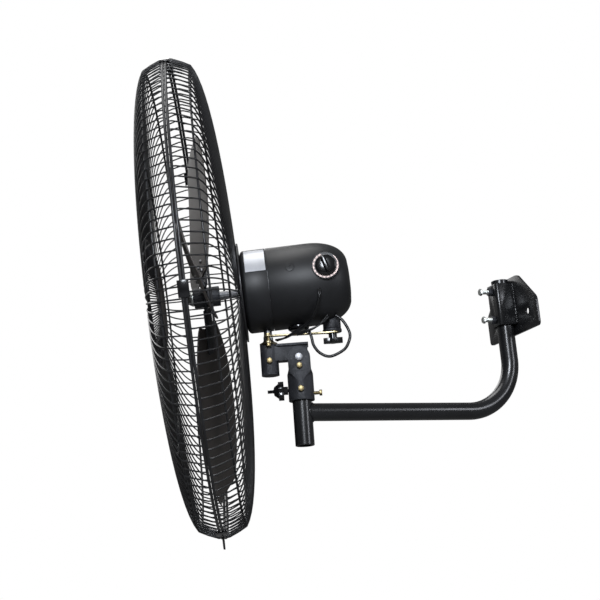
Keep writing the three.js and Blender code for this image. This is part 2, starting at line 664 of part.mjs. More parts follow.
function speedControl(head) {
  add(head, 'dial_plate', prism(
    'y', ring(DIAL_R, 5, DIAL_X, DIAL_Z), -DIAL_FACE - SEAT - DIAL_T, -DIAL_FACE - SEAT, 12), dialPrint);
  const inside = SWITCH_FACE;
  const half = SWITCH_SIZE / 2;
  add(head, 'speed_switch', join(
    box(DIAL_X - half, DIAL_X + half, inside, inside + SWITCH_DEPTH, DIAL_Z - half, DIAL_Z + half),
    prism('y', disc(4, DIAL_X, DIAL_Z), -DIAL_FACE, inside + 1, 4)), blackPlastic);
  const back = -DIAL_FACE - SEAT - DIAL_T - RUNNING;
  const grip = box(
    -KNOB_GRIP_WIDTH / 2, KNOB_GRIP_WIDTH / 2, back - KNOB_SKIRT - KNOB_GRIP, back - 1,
    -KNOB_R + 1.5, KNOB_R - 1.5);
  grip.rotateY(-16 * DEG);
  grip.translate(DIAL_X, 0, DIAL_Z);
  add(head, 'speed_knob', join(
    prism('y', disc(KNOB_R, DIAL_X, DIAL_Z), back - KNOB_SKIRT, back, 12), grip), blackPlastic);
}

// ---------------------------------------------------------------- oscillation drive

// the outside of the motor with its seat, drawn in the pivot's frame
function motorSolid() {
  const g = turned('x', [
    [MOTOR_FRONT, 0], [MOTOR_FRONT, MOTOR_R + SEAT], ...dome(SEAT), [MOTOR_REAR + SEAT, 0]], 24);
  g.translate(-RIM_AHEAD, 0, 0);
  g.rotateY(-MOTOR_DROOP);
  g.translate(0, 0, AXIS_HEIGHT);
  return g;
}

function oscillationDrive(pivot) {
  // pivot frame: origin on the oscillation axis at the height of the run
  add(pivot, 'pivot_shaft', cut(turned('z', [
    [PIVOT_BARREL_BOTTOM + 8, 0], [PIVOT_BARREL_BOTTOM + 8, PIVOT_SHAFT_R],
    [PIVOT_NUT_TOP + SEAT, PIVOT_SHAFT_R], [PIVOT_NUT_TOP + SEAT, PIVOT_STUB_R],
    [AXIS_HEIGHT - MOTOR_R + 4, PIVOT_STUB_R], [AXIS_HEIGHT - MOTOR_R + 4, 0]], 14), motorSolid()), steel);
  add(pivot, 'pivot_nut', prism('z', (() => {
    const shape = hexagon(PIVOT_NUT_FLATS + 3);
    shape.holes.push(new THREE.Path().absarc(0, 0, PIVOT_SHAFT_R + SEAT, 0, 2 * Math.PI, true));
    return shape;
  })(), PIVOT_NUT_BOTTOM, PIVOT_NUT_TOP, 7), zinc);
  add(pivot, 'pivot_bush', prism('z', ring(PIVOT_SHAFT_R + 3, PIVOT_SHAFT_R + SEAT),
    PIVOT_BARREL_TOP + 2 * SEAT + ANCHOR_T, PIVOT_NUT_BOTTOM - SEAT, 7), castBlack);

  add(pivot, 'gear_case', cut(
    prism('z', disc(GEAR_CASE_R, CRANK_X, 0), CRANK_TOP + SEAT, AXIS_HEIGHT - MOTOR_R + 30, 8),
    prism('z', disc(5 + RUNNING, CRANK_X, 0), CRANK_TOP, CRANK_TOP + 9, 5),
    motorSolid()), castBlack);

  const pinY = -CRANK_THROW;
  add(pivot, 'crank_disc', join(
    prism('z', disc(CRANK_R, CRANK_X, 0), CRANK_TOP - CRANK_T, CRANK_TOP, 10),
    prism('z', disc(CRANK_PIN_R, CRANK_X, pinY), WING_HUB_TOP - WING_HUB_LENGTH + 3, CRANK_TOP - 1, 5),
    prism('z', disc(5, CRANK_X, 0), CRANK_TOP - 1, CRANK_TOP + 8, 5)), castBlack);

  // link rod from the fixed pin to the crank pin, with a long eye at the crank
  const from = new THREE.Vector2(0, -ANCHOR_OFFSET);
  const to = new THREE.Vector2(CRANK_X, pinY);
  const length = from.distanceTo(to);
  const neckFrom = ROD_EYE_R + 2;
  const neckTo = length - ROD_SLOT_HALF - ROD_EYE_R - 2;
  const bar = new THREE.Shape();
  bar.absarc(0, 0, ROD_EYE_R, 30 * DEG, 330 * DEG, false);
  bar.lineTo(neckFrom, -ROD_HALF_WIDTH);
  bar.lineTo(neckTo, -ROD_HALF_WIDTH);
  bar.absarc(length + ROD_SLOT_HALF, 0, ROD_EYE_R, -90 * DEG, 90 * DEG, false);
  bar.lineTo(neckTo, ROD_HALF_WIDTH);
  bar.lineTo(neckFrom, ROD_HALF_WIDTH);
  const eye = new THREE.Path();
  eye.absarc(0, 0, ANCHOR_PIN_R + RUNNING, 0, 2 * Math.PI, true);
  bar.holes.push(eye);
  const slotR = CRANK_PIN_R + RUNNING;
  const slot = new THREE.Path();
  slot.absarc(length - ROD_SLOT_HALF, 0, slotR, 270 * DEG, 90 * DEG, true);
  slot.absarc(length + ROD_SLOT_HALF, 0, slotR, 90 * DEG, -90 * DEG, true);
  bar.holes.push(slot);
  const rod = prism('z', bar, ROD_TOP - ROD_T, ROD_TOP, 5);
  rod.rotateZ(Math.atan2(to.y - from.y, to.x - from.x));
  rod.translate(from.x, from.y, 0);
  add(pivot, 'link_rod', rod, brass);

  // wing knob under the rod, on the crank pin
  const wings = new THREE.Shape();
  wings.moveTo(-WING_KNOB_HALF, -4);
  wings.lineTo(-6, -5);
  wings.lineTo(6, -5);
  wings.lineTo(WING_KNOB_HALF, -4);
  wings.lineTo(WING_KNOB_HALF, 4);
  wings.lineTo(6, 5);
  wings.lineTo(-6, 5);
  wings.lineTo(-WING_KNOB_HALF, 4);
  const wingBottom = WING_HUB_TOP - WING_HUB_LENGTH;
  const wing = cut(
    join(
      prism('z', wings, wingBottom, wingBottom + WING_KNOB_T),
      prism('z', disc(WING_HUB_R), wingBottom, WING_HUB_TOP, 6)),
    prism('z', disc(CRANK_PIN_R + SEAT), wingBottom + 2, WING_HUB_TOP + 1, 5));
  wing.translate(CRANK_X, pinY, 0);
  add(pivot, 'wing_knob', wing, blackPlastic);
}

// ---------------------------------------------------------------- guard

// outside of the rim, half way between two wires
const RIM_TOP = (GUARD_R + RIM_HEIGHT / 2) * Math.cos(Math.PI / GUARD_WIRES);

// radius to depth of a guard half: a superellipse, square to the rim plane at the rim
const guardDepth = (r) => GUARD_DEPTH * (1 - (r / GUARD_R) ** 2) ** 0.25;

// stations of one radial wire, from the rim inwards: [radius, depth, height]
function wireStations(rings, tail) {
  const stations = [
    { r: GUARD_R, d: SEAT / 2, h: RIM_HEIGHT, ring: true },
    { r: GUARD_R, d: SEAT / 2 + RIM_WIDTH, h: RIM_HEIGHT },
  ];
  for (const { r, cross } of rings) {
    if (cross) {
      const slope = Math.hypot(1, (guardDepth(r + 1) - guardDepth(r - 1)) / 2);
      const step = RING_WIDTH / 2 / slope;
      stations.push({ r: r + step, d: guardDepth(r + step), h: WIRE_HEIGHT, ring: true });
      stations.push({ r: r - step, d: guardDepth(r - step), h: WIRE_HEIGHT });
    } else {
      stations.push({ r, d: guardDepth(r), h: WIRE_HEIGHT });
    }
  }
  return stations.concat(tail);
}

// a round grille as one closed skin: three-sided radial wires, tied by the rings that cross them
function grille(stations, side) {
  const positions = [];
  const index = [];
  const count = stations.length;
  for (let k = 0; k < GUARD_WIRES; k += 1) {
    const a = (k / GUARD_WIRES) * 2 * Math.PI;
    stations.forEach(({ r, d, h }, i) => {
      const before = stations[Math.max(i - 1, 0)];
      const after = stations[Math.min(i + 1, count - 1)];
      const dr = after.r - before.r;
      const dd = after.d - before.d;
      const size = Math.hypot(dr, dd);
      const nr = dd / size;
      const nd = -dr / size;
      for (const [w, lift] of [[-WIRE_HALF_WIDTH, 0], [WIRE_HALF_WIDTH, 0], [0, h]]) {
        const rr = r + nr * lift - nr * h / 2;
        const y = rr * Math.cos(a) - w * Math.sin(a);
        const z = rr * Math.sin(a) + w * Math.cos(a);
        positions.push(side * (d + nd * lift - nd * h / 2), y, z);
      }
    });
  }
  const at = (k, i, corner) => ((k % GUARD_WIRES) * count + i) * 3 + corner;
  const quad = (a, b, c, d) => index.push(a, b, c, a, c, d);
  const [LEFT, RIGHT, TOP] = [0, 1, 2];
  for (let k = 0; k < GUARD_WIRES; k += 1) {
    index.push(at(k, 0, LEFT), at(k, 0, TOP), at(k, 0, RIGHT));
    index.push(at(k, count - 1, LEFT), at(k, count - 1, RIGHT), at(k, count - 1, TOP));
    for (let i = 0; i < count - 1; i += 1) {
      quad(at(k, i, LEFT), at(k, i, RIGHT), at(k, i + 1, RIGHT), at(k, i + 1, LEFT));
      if (stations[i].ring) {
        const n = k + 1;
        quad(at(k, i, RIGHT), at(n, i, LEFT), at(n, i + 1, LEFT), at(k, i + 1, RIGHT));
        quad(at(k, i, TOP), at(k, i + 1, TOP), at(n, i + 1, TOP), at(n, i, TOP));
        quad(at(k, i, RIGHT), at(k, i, TOP), at(n, i, TOP), at(n, i, LEFT));
        quad(at(k, i + 1, RIGHT), at(n, i + 1, LEFT), at(n, i + 1, TOP), at(k, i + 1, TOP));
      } else {
        quad(at(k, i, RIGHT), at(k, i, TOP), at(k, i + 1, TOP), at(k, i + 1, RIGHT));
        quad(at(k, i, TOP), at(k, i, LEFT), at(k, i + 1, LEFT), at(k, i + 1, TOP));
      }
    }
  }
  const g = new THREE.BufferGeometry();
  g.setAttribute('position', new THREE.Float32BufferAttribute(positions, 3));
  g.setIndex(index);
  return weld(g);
}

function guards(head) {
  const outer = [
    { r: SHOULDER_R, cross: true }, { r: 330 }, { r: MID_R, cross: true }, { r: 165 }];
  const rearTail = [
    { r: REAR_RING_R + RING_WIDTH, d: GUARD_DEPTH - 1, h: WIRE_HEIGHT, ring: true },
    { r: REAR_RING_R, d: GUARD_DEPTH - 1, h: WIRE_HEIGHT },
  ];
  add(head, 'rear_guard', grille(wireStations(outer, rearTail), 1), blackPaint);
  const frontTail = [
    { r: DISH_R, d: guardDepth(DISH_R), h: WIRE_HEIGHT },
    { r: (DISH_R + FRONT_RING_R) / 2, d: (guardDepth(DISH_R) + DISH_DEPTH) / 2, h: WIRE_HEIGHT },
    { r: FRONT_RING_R + RING_WIDTH, d: DISH_DEPTH, h: WIRE_HEIGHT, ring: true },
    { r: FRONT_RING_R, d: DISH_DEPTH, h: WIRE_HEIGHT },
  ];
  add(head, 'front_guard', grille(wireStations(outer, frontTail), -1), blackPaint);

  // round centre plate, dished, gripped on the inner ring
  const badgeR = FRONT_RING_R * Math.cos(Math.PI / GUARD_WIRES) - SEAT;
  const mid = -DISH_DEPTH;
  add(head, 'guard_centre_plate', turned('x', [
    [mid - BADGE_T - 2, 0], [mid - BADGE_T, badgeR - 8], [mid, badgeR], [mid + BADGE_T, badgeR],
    [mid, badgeR - 8], [mid - 2, 0]], 24), bladeSteel);

  // plate that carries the rear guard on the motor
  const plateFront = GUARD_DEPTH - 1 + WIRE_HEIGHT / 2 + SEAT;
  add(head, 'guard_mount_plate', prism('x', ring(MOUNT_PLATE_R, BEARING_R),
    plateFront, MOTOR_FRONT - SEAT, 10), castBlack);

  // lifting tabs at the top and the bottom of the rim
  for (const [name, turn, hole] of [['rim_top_tab', 0, 0], ['rim_bottom_tab', Math.PI, TAB_HOLE_R]]) {
    const base = RIM_TOP + SEAT;
    const tab = outline([[-TAB_HALF, base], [TAB_HALF, base],
      [TAB_HALF / 2, base + TAB_RISE], [-TAB_HALF / 2, base + TAB_RISE]]);
    if (hole) {
      tab.holes.push(new THREE.Path().absarc(0, base + TAB_RISE / 2, hole, 0, 2 * Math.PI, true));
    }
    add(head, name, prism('x', tab, -TAB_T / 2, TAB_T / 2, 5).rotateX(turn), blackPaint);
  }

  // clips that hold the two rims together
  for (let i = 0; i < CLIPS; i += 1) {
    const a = (CLIP_FIRST / GUARD_WIRES + i / CLIPS) * 2 * Math.PI;
    const reach = RIM_WIDTH + RIM_HEIGHT / 4 + 2 * SEAT;
    const clip = cut(
      box(-reach - CLIP_T, reach + CLIP_T, -CLIP_LENGTH / 2, CLIP_LENGTH / 2,
        RIM_TOP - RIM_HEIGHT, RIM_TOP + SEAT + CLIP_T),
      box(-reach, reach, -CLIP_LENGTH, CLIP_LENGTH, RIM_TOP - RIM_HEIGHT - 1, RIM_TOP + SEAT));
    clip.rotateX(a - 90 * DEG);
    add(head, `rim_clip_${i + 1}`, clip, blackPlastic);
  }
}

// ---------------------------------------------------------------- fan rotor

function blade() {
  // a cambered, twisted sheet: rows from root to tip, columns from leading to trailing edge
  const rows = 7;
  const columns = 5;
  const positions = [];
  const index = [];
  for (const face of [0, 1]) {
    for (let i = 0; i <= rows; i += 1) {
      const t = i / rows;
      const r = BLADE_ROOT + (BLADE_TIP - BLADE_ROOT) * t;
      const halfChord = 34 + 90 * Math.sin(Math.min(t * 1.15, 1) * 90 * DEG) ** 0.9;
      const trim = t > 0.86 ? 1 - ((t - 0.86) / 0.14) ** 2 * 0.35 : 1;
      const pitch = BLADE_ROOT_PITCH + (BLADE_TIP_PITCH - BLADE_ROOT_PITCH) * t;
      for (let j = 0; j <= columns; j += 1) {
        const s = (j / columns) * 2 - 1;
        const chord = s * halfChord * trim;
        const camber = (1 - s * s) * 10 * t;
        const across = chord * Math.cos(pitch);
        const forward = chord * Math.sin(pitch) + camber + (1 - face) * BLADE_T;
        const a = across / Math.max(r, 60);
        positions.push(BLADE_BACK - forward, r * Math.sin(a), r * Math.cos(a));
      }
    }
  }
  const size = (rows + 1) * (columns + 1);
  const at = (face, i, j) => face * size + i * (columns + 1) + j;
  const quad = (a, b, c, d) => index.push(a, b, c, a, c, d);
  for (let i = 0; i < rows; i += 1) {
    for (let j = 0; j < columns; j += 1) {
      quad(at(0, i, j), at(0, i, j + 1), at(0, i + 1, j + 1), at(0, i + 1, j));
      quad(at(1, i, j), at(1, i + 1, j), at(1, i + 1, j + 1), at(1, i, j + 1));
    }
    quad(at(0, i, 0), at(0, i + 1, 0), at(1, i + 1, 0), at(1, i, 0));
    quad(at(0, i, columns), at(1, i, columns), at(1, i + 1, columns), at(0, i + 1, columns));
  }
  for (let j = 0; j < columns; j += 1) {
    quad(at(0, 0, j), at(1, 0, j), at(1, 0, j + 1), at(0, 0, j + 1));
    quad(at(0, rows, j), at(0, rows, j + 1), at(1, rows, j + 1), at(1, rows, j));
  }
  const g = new THREE.BufferGeometry();
  g.setAttribute('position', new THREE.Float32BufferAttribute(positions, 3));
  g.setIndex(index);
  return weld(g);
}

// pieces on the outside of the motor that only ride with it
function motorFittings(head) {
  const label = new THREE.Shape();
  label.absarc(0, 0, MOTOR_R + SEAT + LABEL_T, Math.PI - LABEL_HIGH, Math.PI - LABEL_LOW, false);
  label.absarc(0, 0, MOTOR_R + SEAT, Math.PI - LABEL_LOW, Math.PI - LABEL_HIGH, true);
  add(head, 'blank_label', prism('x', label, LABEL_FRONT, LABEL_REAR, 8), zinc);

  const body = turned('x', [[MOTOR_FRONT, 0], [MOTOR_FRONT, MOTOR_R + SEAT],
    [MOTOR_STRAIGHT, MOTOR_R + SEAT], [MOTOR_STRAIGHT, 0]], 24);
  add(head, 'terminal_cap', cut(turned('z', [
    [-MOTOR_R + 8, 0], [-MOTOR_R + 8, TERMINAL_R], [-TERMINAL_BOTTOM + 3, TERMINAL_R],
    [-TERMINAL_BOTTOM, TERMINAL_R - 4], [-TERMINAL_BOTTOM, 0]], 16)
    .translate(TERMINAL_X, 0, 0), body), castBlack);

  const reach = BEARING_R + SEAT + MOTOR_WALL + SEAT + CAPACITOR_R;
  const side = reach * Math.SQRT1_2;
  const from = MOTOR_STRAIGHT + 9;
  add(head, 'run_capacitor', prism(
    'x', disc(CAPACITOR_R, side, side), from, from + CAPACITOR_LENGTH, 7), zinc);

  const loop = [[229, -21.2, -62.2], [240, -22, -74], [248, -23, -96], [243, -25, -113],
    [233, -27, -124], [211, -28, -131.5], [195, -28, -124], [186, -28, -110], [184, -28, -96],
    [181, -27, -84], [174, -23, -75.5], [169.8, -18.6, -72.8]];
  add(head, 'wiring_loop', sweep(disc(CABLE_R), cableStations(loop, 30), 4), rubber);
  const leads = [[206, -66.8, -24.3], [205, -70, -33], [200, -66, -47], [192, -52, -62],
    [181, -38, -73], [156, -26, -84], [140, -17, -89], [125.2, -4.4, -88.6]];
  add(head, 'motor_leads', sweep(disc(CABLE_R), cableStations(leads, 22), 4), rubber);
}

function fanRotor(head, midX) {
  const rear = MOTOR_STRAIGHT + 22;
  add(head, 'motor_shaft', turned('x', [
    [HUB_FRONT + 4, 0], [HUB_FRONT + 4, SHAFT_R], [rear, SHAFT_R], [rear, 0]], 12), steel);
  add(head, 'rotor_core', prism(
    'x', ring(CORE_R, SHAFT_R + SEAT), midX - CORE_LENGTH / 2, midX + CORE_LENGTH / 2, 8), copper);
  const spiderFront = SPIDER_X;
  add(head, 'fan_hub', turned('x', [
    [HUB_FRONT + 4, SHAFT_R + SEAT], [HUB_FRONT + 4, HUB_R], [spiderFront - SEAT, HUB_R],
    [spiderFront - SEAT, SHAFT_R + SEAT + 3], [spiderFront - SEAT, SHAFT_R + SEAT],
    [HUB_FRONT + 4, SHAFT_R + SEAT]], 16), castBlack);
  add(head, 'spinner', turned('x', [
    [HUB_FRONT - 8, 0], [HUB_FRONT - 6, SPINNER_R * 0.7], [HUB_FRONT + 1, SPINNER_R],
    [HUB_FRONT + 4 - SEAT, SPINNER_R], [HUB_FRONT + 4 - SEAT, 0]], 14), zinc);
  add(head, 'rear_hub_collar', prism(
    'x', ring(HUB_R, SHAFT_R + SEAT), SPIDER_X + SPIDER_T + SEAT, HUB_REAR, 8), castBlack);

  let spider = prism('x', disc(HUB_R + 12), SPIDER_X, SPIDER_X + SPIDER_T, 12);
  for (let i = 0; i < BLADES; i += 1) {
    const arm = box(-SPIDER_T / 2, SPIDER_T / 2, -SPIDER_ARM_HALF, SPIDER_ARM_HALF, HUB_R + 3, SPIDER_R);
    arm.rotateZ(BLADE_ROOT_PITCH);
    arm.translate(SPIDER_X + SPIDER_T / 2, 0, 0);
    arm.rotateX((i / BLADES) * 2 * Math.PI);
    spider = join(spider, arm);
  }
  spider = cut(spider, prism('x', disc(SHAFT_R + SEAT), SPIDER_X - 1, SPIDER_X + SPIDER_T + 1, 6));
  spider.rotateX(BLADE_FIRST);
  add(head, 'blade_spider', spider, castBlack);
  for (let i = 0; i < BLADES; i += 1) {
    const one = blade();
    one.rotateX(BLADE_FIRST + (i / BLADES) * 2 * Math.PI);
    add(head, `blade_${i + 1}`, one, bladeSteel);
  }
}

// ---------------------------------------------------------------- assembly

wallBracket();
const stubFrame = armTubes();
const neck = frameAt(stubFrame, 0, 0, 0);
neck.rotation.z = HEAD_YAW;
neckSocket(neck);
tiltBracket(neck);
const pivot = frameAt(neck, PIVOT_X, 0, 0);
oscillationDrive(pivot);
const head = frameAt(pivot, 0, 0, AXIS_HEIGHT);
head.rotation.y = -MOTOR_DROOP;
const axisFrame = frameAt(head, -RIM_AHEAD, 0, 0);
const midX = motor(axisFrame);
bearings(axisFrame, MOTOR_FRONT + MOTOR_WALL + SEAT, MOTOR_STRAIGHT + 8);
speedControl(axisFrame);
guards(axisFrame);
motorFittings(axisFrame);
fanRotor(axisFrame, midX);

export default group;
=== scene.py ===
"""Wall mounted industrial fan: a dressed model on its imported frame."""
import math

import bmesh
import bpy
from mathutils import Matrix, Vector


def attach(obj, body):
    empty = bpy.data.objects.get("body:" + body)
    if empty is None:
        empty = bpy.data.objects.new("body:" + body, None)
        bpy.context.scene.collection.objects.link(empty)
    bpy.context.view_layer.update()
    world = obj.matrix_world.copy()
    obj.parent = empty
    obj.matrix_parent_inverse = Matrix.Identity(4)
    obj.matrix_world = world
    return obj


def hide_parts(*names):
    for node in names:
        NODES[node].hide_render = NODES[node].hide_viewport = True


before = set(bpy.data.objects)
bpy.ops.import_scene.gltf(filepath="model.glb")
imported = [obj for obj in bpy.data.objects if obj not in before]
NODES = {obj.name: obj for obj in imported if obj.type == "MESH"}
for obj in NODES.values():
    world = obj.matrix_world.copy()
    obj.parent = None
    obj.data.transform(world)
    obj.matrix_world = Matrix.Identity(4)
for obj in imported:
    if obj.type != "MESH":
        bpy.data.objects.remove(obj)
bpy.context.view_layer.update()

MM = 0.001
DEG = math.pi / 180
TAU = 2 * math.pi

# ---------------------------------------------------------------- sizes, in mm

LEG_X = -20.5
ARM_R = 15.0
ARM_WALL = 2.5
ARM_REACH = 400.0
ARM_RISE = 2 * DEG
ARM_BEND_R = 88.0
SLEEVE_HEIGHT = 74.0
CLAMP_SPACING = 50.0
ARM_PROUD = 8.0  # tube above the sleeve
ARM_DROP = 233.0  # top of the leg to the run
LEG_TOP = SLEEVE_HEIGHT / 2 + ARM_PROUD
RUN_Z = LEG_TOP - ARM_DROP
STUB_X = LEG_X - ARM_REACH * math.cos(ARM_RISE)
STUB_Z = RUN_Z + ARM_REACH * math.sin(ARM_RISE)
STUB_R = 16.0
STUB_WALL = 2.5
STUB_BELOW = 56.0
STUB_ABOVE = 68.0
HEAD_YAW = -22 * DEG
PIVOT_X = -49.0
AXIS_HEIGHT = 212.0
MOTOR_DROOP = 3 * DEG
RIM_AHEAD = 116.6

MOTOR_R = 70.0
MOTOR_FRONT = 80.0
MOTOR_SEAM = 124.0
MOTOR_STRAIGHT = 192.0
MOTOR_REAR = 260.0
MOTOR_REAR_R = 24.0
PLUG_X = 114.0
BOSS_X = 162.0
BOSS_LIFT = 15.5 * DEG
DIAL_X = 221.0
DIAL_Z = 13.0
DIAL_R = 22.0
DIAL_FACE = 70.6
KNOB_R = 17.8
KNOB_TURN = -16 * DEG

GUARD_R = 403.0
GUARD_DEPTH = 75.3
WIRES = 140
WIRE_R = 1.3
RIM_R = 2.35
SHOULDER_R = GUARD_R - 17.0
MID_R = 256.0
REAR_RING_R = 78.0
FRONT_RING_R = 62.0
DISH_R = 118.0
DISH_DEPTH = 58.0

BLADE_ROOT = 52.0
BLADE_TIP = GUARD_R - 51.0
BLADE_T = 2.0
BLADE_BACK = 13.0
BLADE_FIRST = 84 * DEG
BLADE_ROOT_PITCH = 20 * DEG
BLADE_TIP_PITCH = 8 * DEG


def move(x=0.0, y=0.0, z=0.0):
    return Matrix.Translation((x, y, z))


WORLD = Matrix.Identity(4)
STUB = move(STUB_X, 0, STUB_Z) @ Matrix.Rotation(ARM_RISE, 4, "Y")
NECK = STUB @ Matrix.Rotation(HEAD_YAW, 4, "Z")
PIVOT = NECK @ move(PIVOT_X)
AXIS = PIVOT @ move(0, 0, AXIS_HEIGHT) @ Matrix.Rotation(-MOTOR_DROOP, 4, "Y") @ move(-RIM_AHEAD)

# ---------------------------------------------------------------- camera

CAMERA_YAW = 22.6 * DEG
CAMERA_PITCH = 12 * DEG
CAMERA_ROLL = 6.0 * DEG
FOCAL_PX = 1800.0
DISTANCE = 2988.0
STUB_PIXEL = (302.8, 412.3)
PICTURE = 600


def make_camera():
    sy, cy = math.sin(CAMERA_YAW), math.cos(CAMERA_YAW)
    sp, cp = math.sin(CAMERA_PITCH), math.cos(CAMERA_PITCH)
    sr, cr = math.sin(CAMERA_ROLL), math.cos(CAMERA_ROLL)
    ahead = Vector((sy * cp, cy * cp, sp))
    right0 = Vector((cy, -sy, 0))
    up0 = Vector((-sy * sp, -cy * sp, cp))
    right = cr * right0 - sr * up0
    up = sr * right0 + cr * up0
    stub = Vector((STUB_X, 0, STUB_Z))
    off_x = (STUB_PIXEL[0] - PICTURE / 2) / FOCAL_PX * DISTANCE
    off_y = (STUB_PIXEL[1] - PICTURE / 2) / FOCAL_PX * DISTANCE
    eye = stub - (off_x * right - off_y * up + DISTANCE * ahead)
    data = bpy.data.cameras.new("photo_camera")
    data.sensor_width = 36
    data.lens = FOCAL_PX / PICTURE * data.sensor_width
    data.clip_end = 50
    camera = bpy.data.objects.new("photo_camera", data)
    bpy.context.scene.collection.objects.link(camera)
    basis = Matrix((right, up, -ahead)).transposed().to_4x4()
    camera.matrix_world = Matrix.Translation(eye * MM) @ basis
    bpy.context.scene.camera = camera


# ---------------------------------------------------------------- shader maths


class Field:
    """A shader number that adds, multiplies and compares through Math nodes."""

    def __init__(self, tree, socket):
        self.tree = tree
        self.socket = socket

    def math(self, operation, *others):
        node = self.tree.nodes.new("ShaderNodeMath")
        node.operation = operation
        for slot, value in zip(node.inputs, (self, *others)):
            if isinstance(value, Field):
                self.tree.links.new(value.socket, slot)
            else:
                slot.default_value = value
        return Field(self.tree, node.outputs[0])

    def __add__(self, other):
        return self.math("ADD", other)

    def __sub__(self, other):
        return self.math("SUBTRACT", other)

    def __mul__(self, other):
        return self.math("MULTIPLY", other)

    def over(self, edge, soft):
        """0 below the edge, 1 above it, with a soft step."""
        ramp = (self - edge) * (1 / soft) + 0.5
        return ramp.math("MAXIMUM", 0.0).math("MINIMUM", 1.0)


class Finish:
    """A material with one Principled shader and a method that adds nodes to it."""

    def __init__(self, name):
        self.material = bpy.data.materials.new(name)
        self.material.use_nodes = True
        self.tree = self.material.node_tree
        self.shader = self.tree.nodes["Principled BSDF"]
        coords = self.tree.nodes.new("ShaderNodeTexCoord")
        self.place = coords.outputs["Object"]

    def node(self, kind, out=0, links=(), **inputs):
        made = self.tree.nodes.new(kind)
        for key, value in inputs.items():
            made.inputs[key.replace("_", " ")].default_value = value
        for socket, source in links:
            self.tree.links.new(source, made.inputs[socket])
        return made.outputs[out]

    def noise(self, scale, detail=3.0, rough=0.5, stretch=None):
        place = self.place
        if stretch:
            place = self.node("ShaderNodeMapping", links=[("Vector", place)], Scale=stretch)
        socket = self.node("ShaderNodeTexNoise", links=[("Vector", place)],
                           Scale=scale, Detail=detail, Roughness=rough)
        return Field(self.tree, socket)

    def mix(self, amount, first, second):
        made = self.tree.nodes.new("ShaderNodeMix")
        made.data_type = "RGBA"
        self.tree.links.new(amount.socket, made.inputs[0])
        for slot, value in ((made.inputs[6], first), (made.inputs[7], second)):
            if hasattr(value, "links"):
                self.tree.links.new(value, slot)
            else:
                slot.default_value = (*value, 1)
        return made.outputs[2]

    def feed(self, name, value):
        socket = self.shader.inputs[name]
        if isinstance(value, Field):
            value = value.socket
        if hasattr(value, "links"):
            self.tree.links.new(value, socket)
        else:
            socket.default_value = value

    def bump(self, height, strength, distance):
        normal = self.node("ShaderNodeBump", links=[("Height", height.socket)],
                           Strength=strength, Distance=distance)
        self.feed("Normal", normal)


def worked(name, dark, light, rough, spread, metallic=0.0, patch=60.0, grain=900.0,
           bump=0.15, depth=0.0003, coat=0.0, stretch=None, spots=None):
    """A metal or plastic surface: patchy colour, uneven gloss, grain and small marks."""
    made = Finish(name)
    cloud = made.noise(patch, 4.0, 0.6, stretch)
    fine = made.noise(grain, 2.0, 0.6, stretch)
    tone = cloud.over(0.5, 0.35)
    colour = made.mix(tone, dark, light)
    if spots:
        marks = made.noise(grain * 0.35, 5.0, 0.75).over(0.66, 0.04)
        colour = made.mix(marks, colour, spots)
    made.feed("Base Color", colour)
    made.feed("Roughness", cloud * spread + fine * (spread * 0.5) + (rough - spread * 0.75))
    made.feed("Metallic", metallic)
    made.feed("Coat Weight", coat)
    made.shader.inputs["Coat Roughness"].default_value = 0.12
    made.bump(fine * 0.7 + cloud * 0.3, bump, depth)
    return made.material


def cast_iron_paint():
    """Dark paint over a coarse casting."""
    made = Finish("cast_paint")
    coarse = made.noise(420.0, 5.0, 0.65)
    cloud = made.noise(45.0, 3.0, 0.5)
    worn = made.noise(150.0, 6.0, 0.7).over(0.64, 0.08)
    colour = made.mix(cloud.over(0.5, 0.4), (0.024, 0.025, 0.029), (0.052, 0.054, 0.062))
    made.feed("Base Color", made.mix(worn, colour, (0.12, 0.12, 0.125)))
    made.feed("Roughness", coarse * 0.3 + 0.36)
    made.feed("Metallic", 0.25)
    made.bump(coarse, 0.75, 0.0009)
    return made.material


def dial_material():
    """Printed scale: a pale ring with graduations, dark ground elsewhere."""
    made = Finish("dial_scale")
    centre = AXIS @ Vector((DIAL_X, -DIAL_FACE, DIAL_Z)) * MM
    turn = AXIS.to_3x3()
    axes = (turn @ Vector((1, 0, 0)), turn @ Vector((0, 0, 1)))

    def along(direction):
        offset = made.node("ShaderNodeVectorMath", links=[(0, made.place)])
        offset.node.operation = "SUBTRACT"
        offset.node.inputs[1].default_value = centre
        dot = made.tree.nodes.new("ShaderNodeVectorMath")
        dot.operation = "DOT_PRODUCT"
        made.tree.links.new(offset, dot.inputs[0])
        dot.inputs[1].default_value = direction
        return Field(made.tree, dot.outputs["Value"]) * 1000.0

    u, v = along(axes[0]), along(axes[1])
    radius = (u * u + v * v).math("SQRT")
    angle = v.math("ARCTAN2", u)

    def below(field, edge, soft):
        return (field * -1.0).over(-edge, soft)

    ticks = (angle * 20.0).math("SINE").over(-0.1, 0.7)
    band = radius.over(DIAL_R - 3.4, 0.3) * below(radius, DIAL_R - 0.7, 0.3)
    closed = below((u + v) * 0.7, 9.5, 1.5).math("MAXIMUM", below(v, 2.0, 1.0))
    thin = radius.over(DIAL_R - 1.7, 0.3) * below(radius, DIAL_R - 0.7, 0.3)
    arc = thin * u.over(11.0, 1.0) * below(v, 15.0, 1.0)
    worn = made.noise(420.0, 3.0).over(0.5, 0.5) * 0.3 + 0.7
    print_mask = (band * closed * (ticks * 0.6 + 0.4) * worn).math("MAXIMUM", arc)
    grain = made.noise(700.0)
    colour = made.mix(grain, (0.008, 0.008, 0.009), (0.014, 0.013, 0.013))
    made.feed("Base Color", made.mix(print_mask, colour, (0.56, 0.43, 0.39)))
    made.feed("Roughness", grain * 0.2 + 0.3)
    made.feed("Metallic", 0.3)
    made.bump(grain, 0.1, 0.0002)
    return made.material


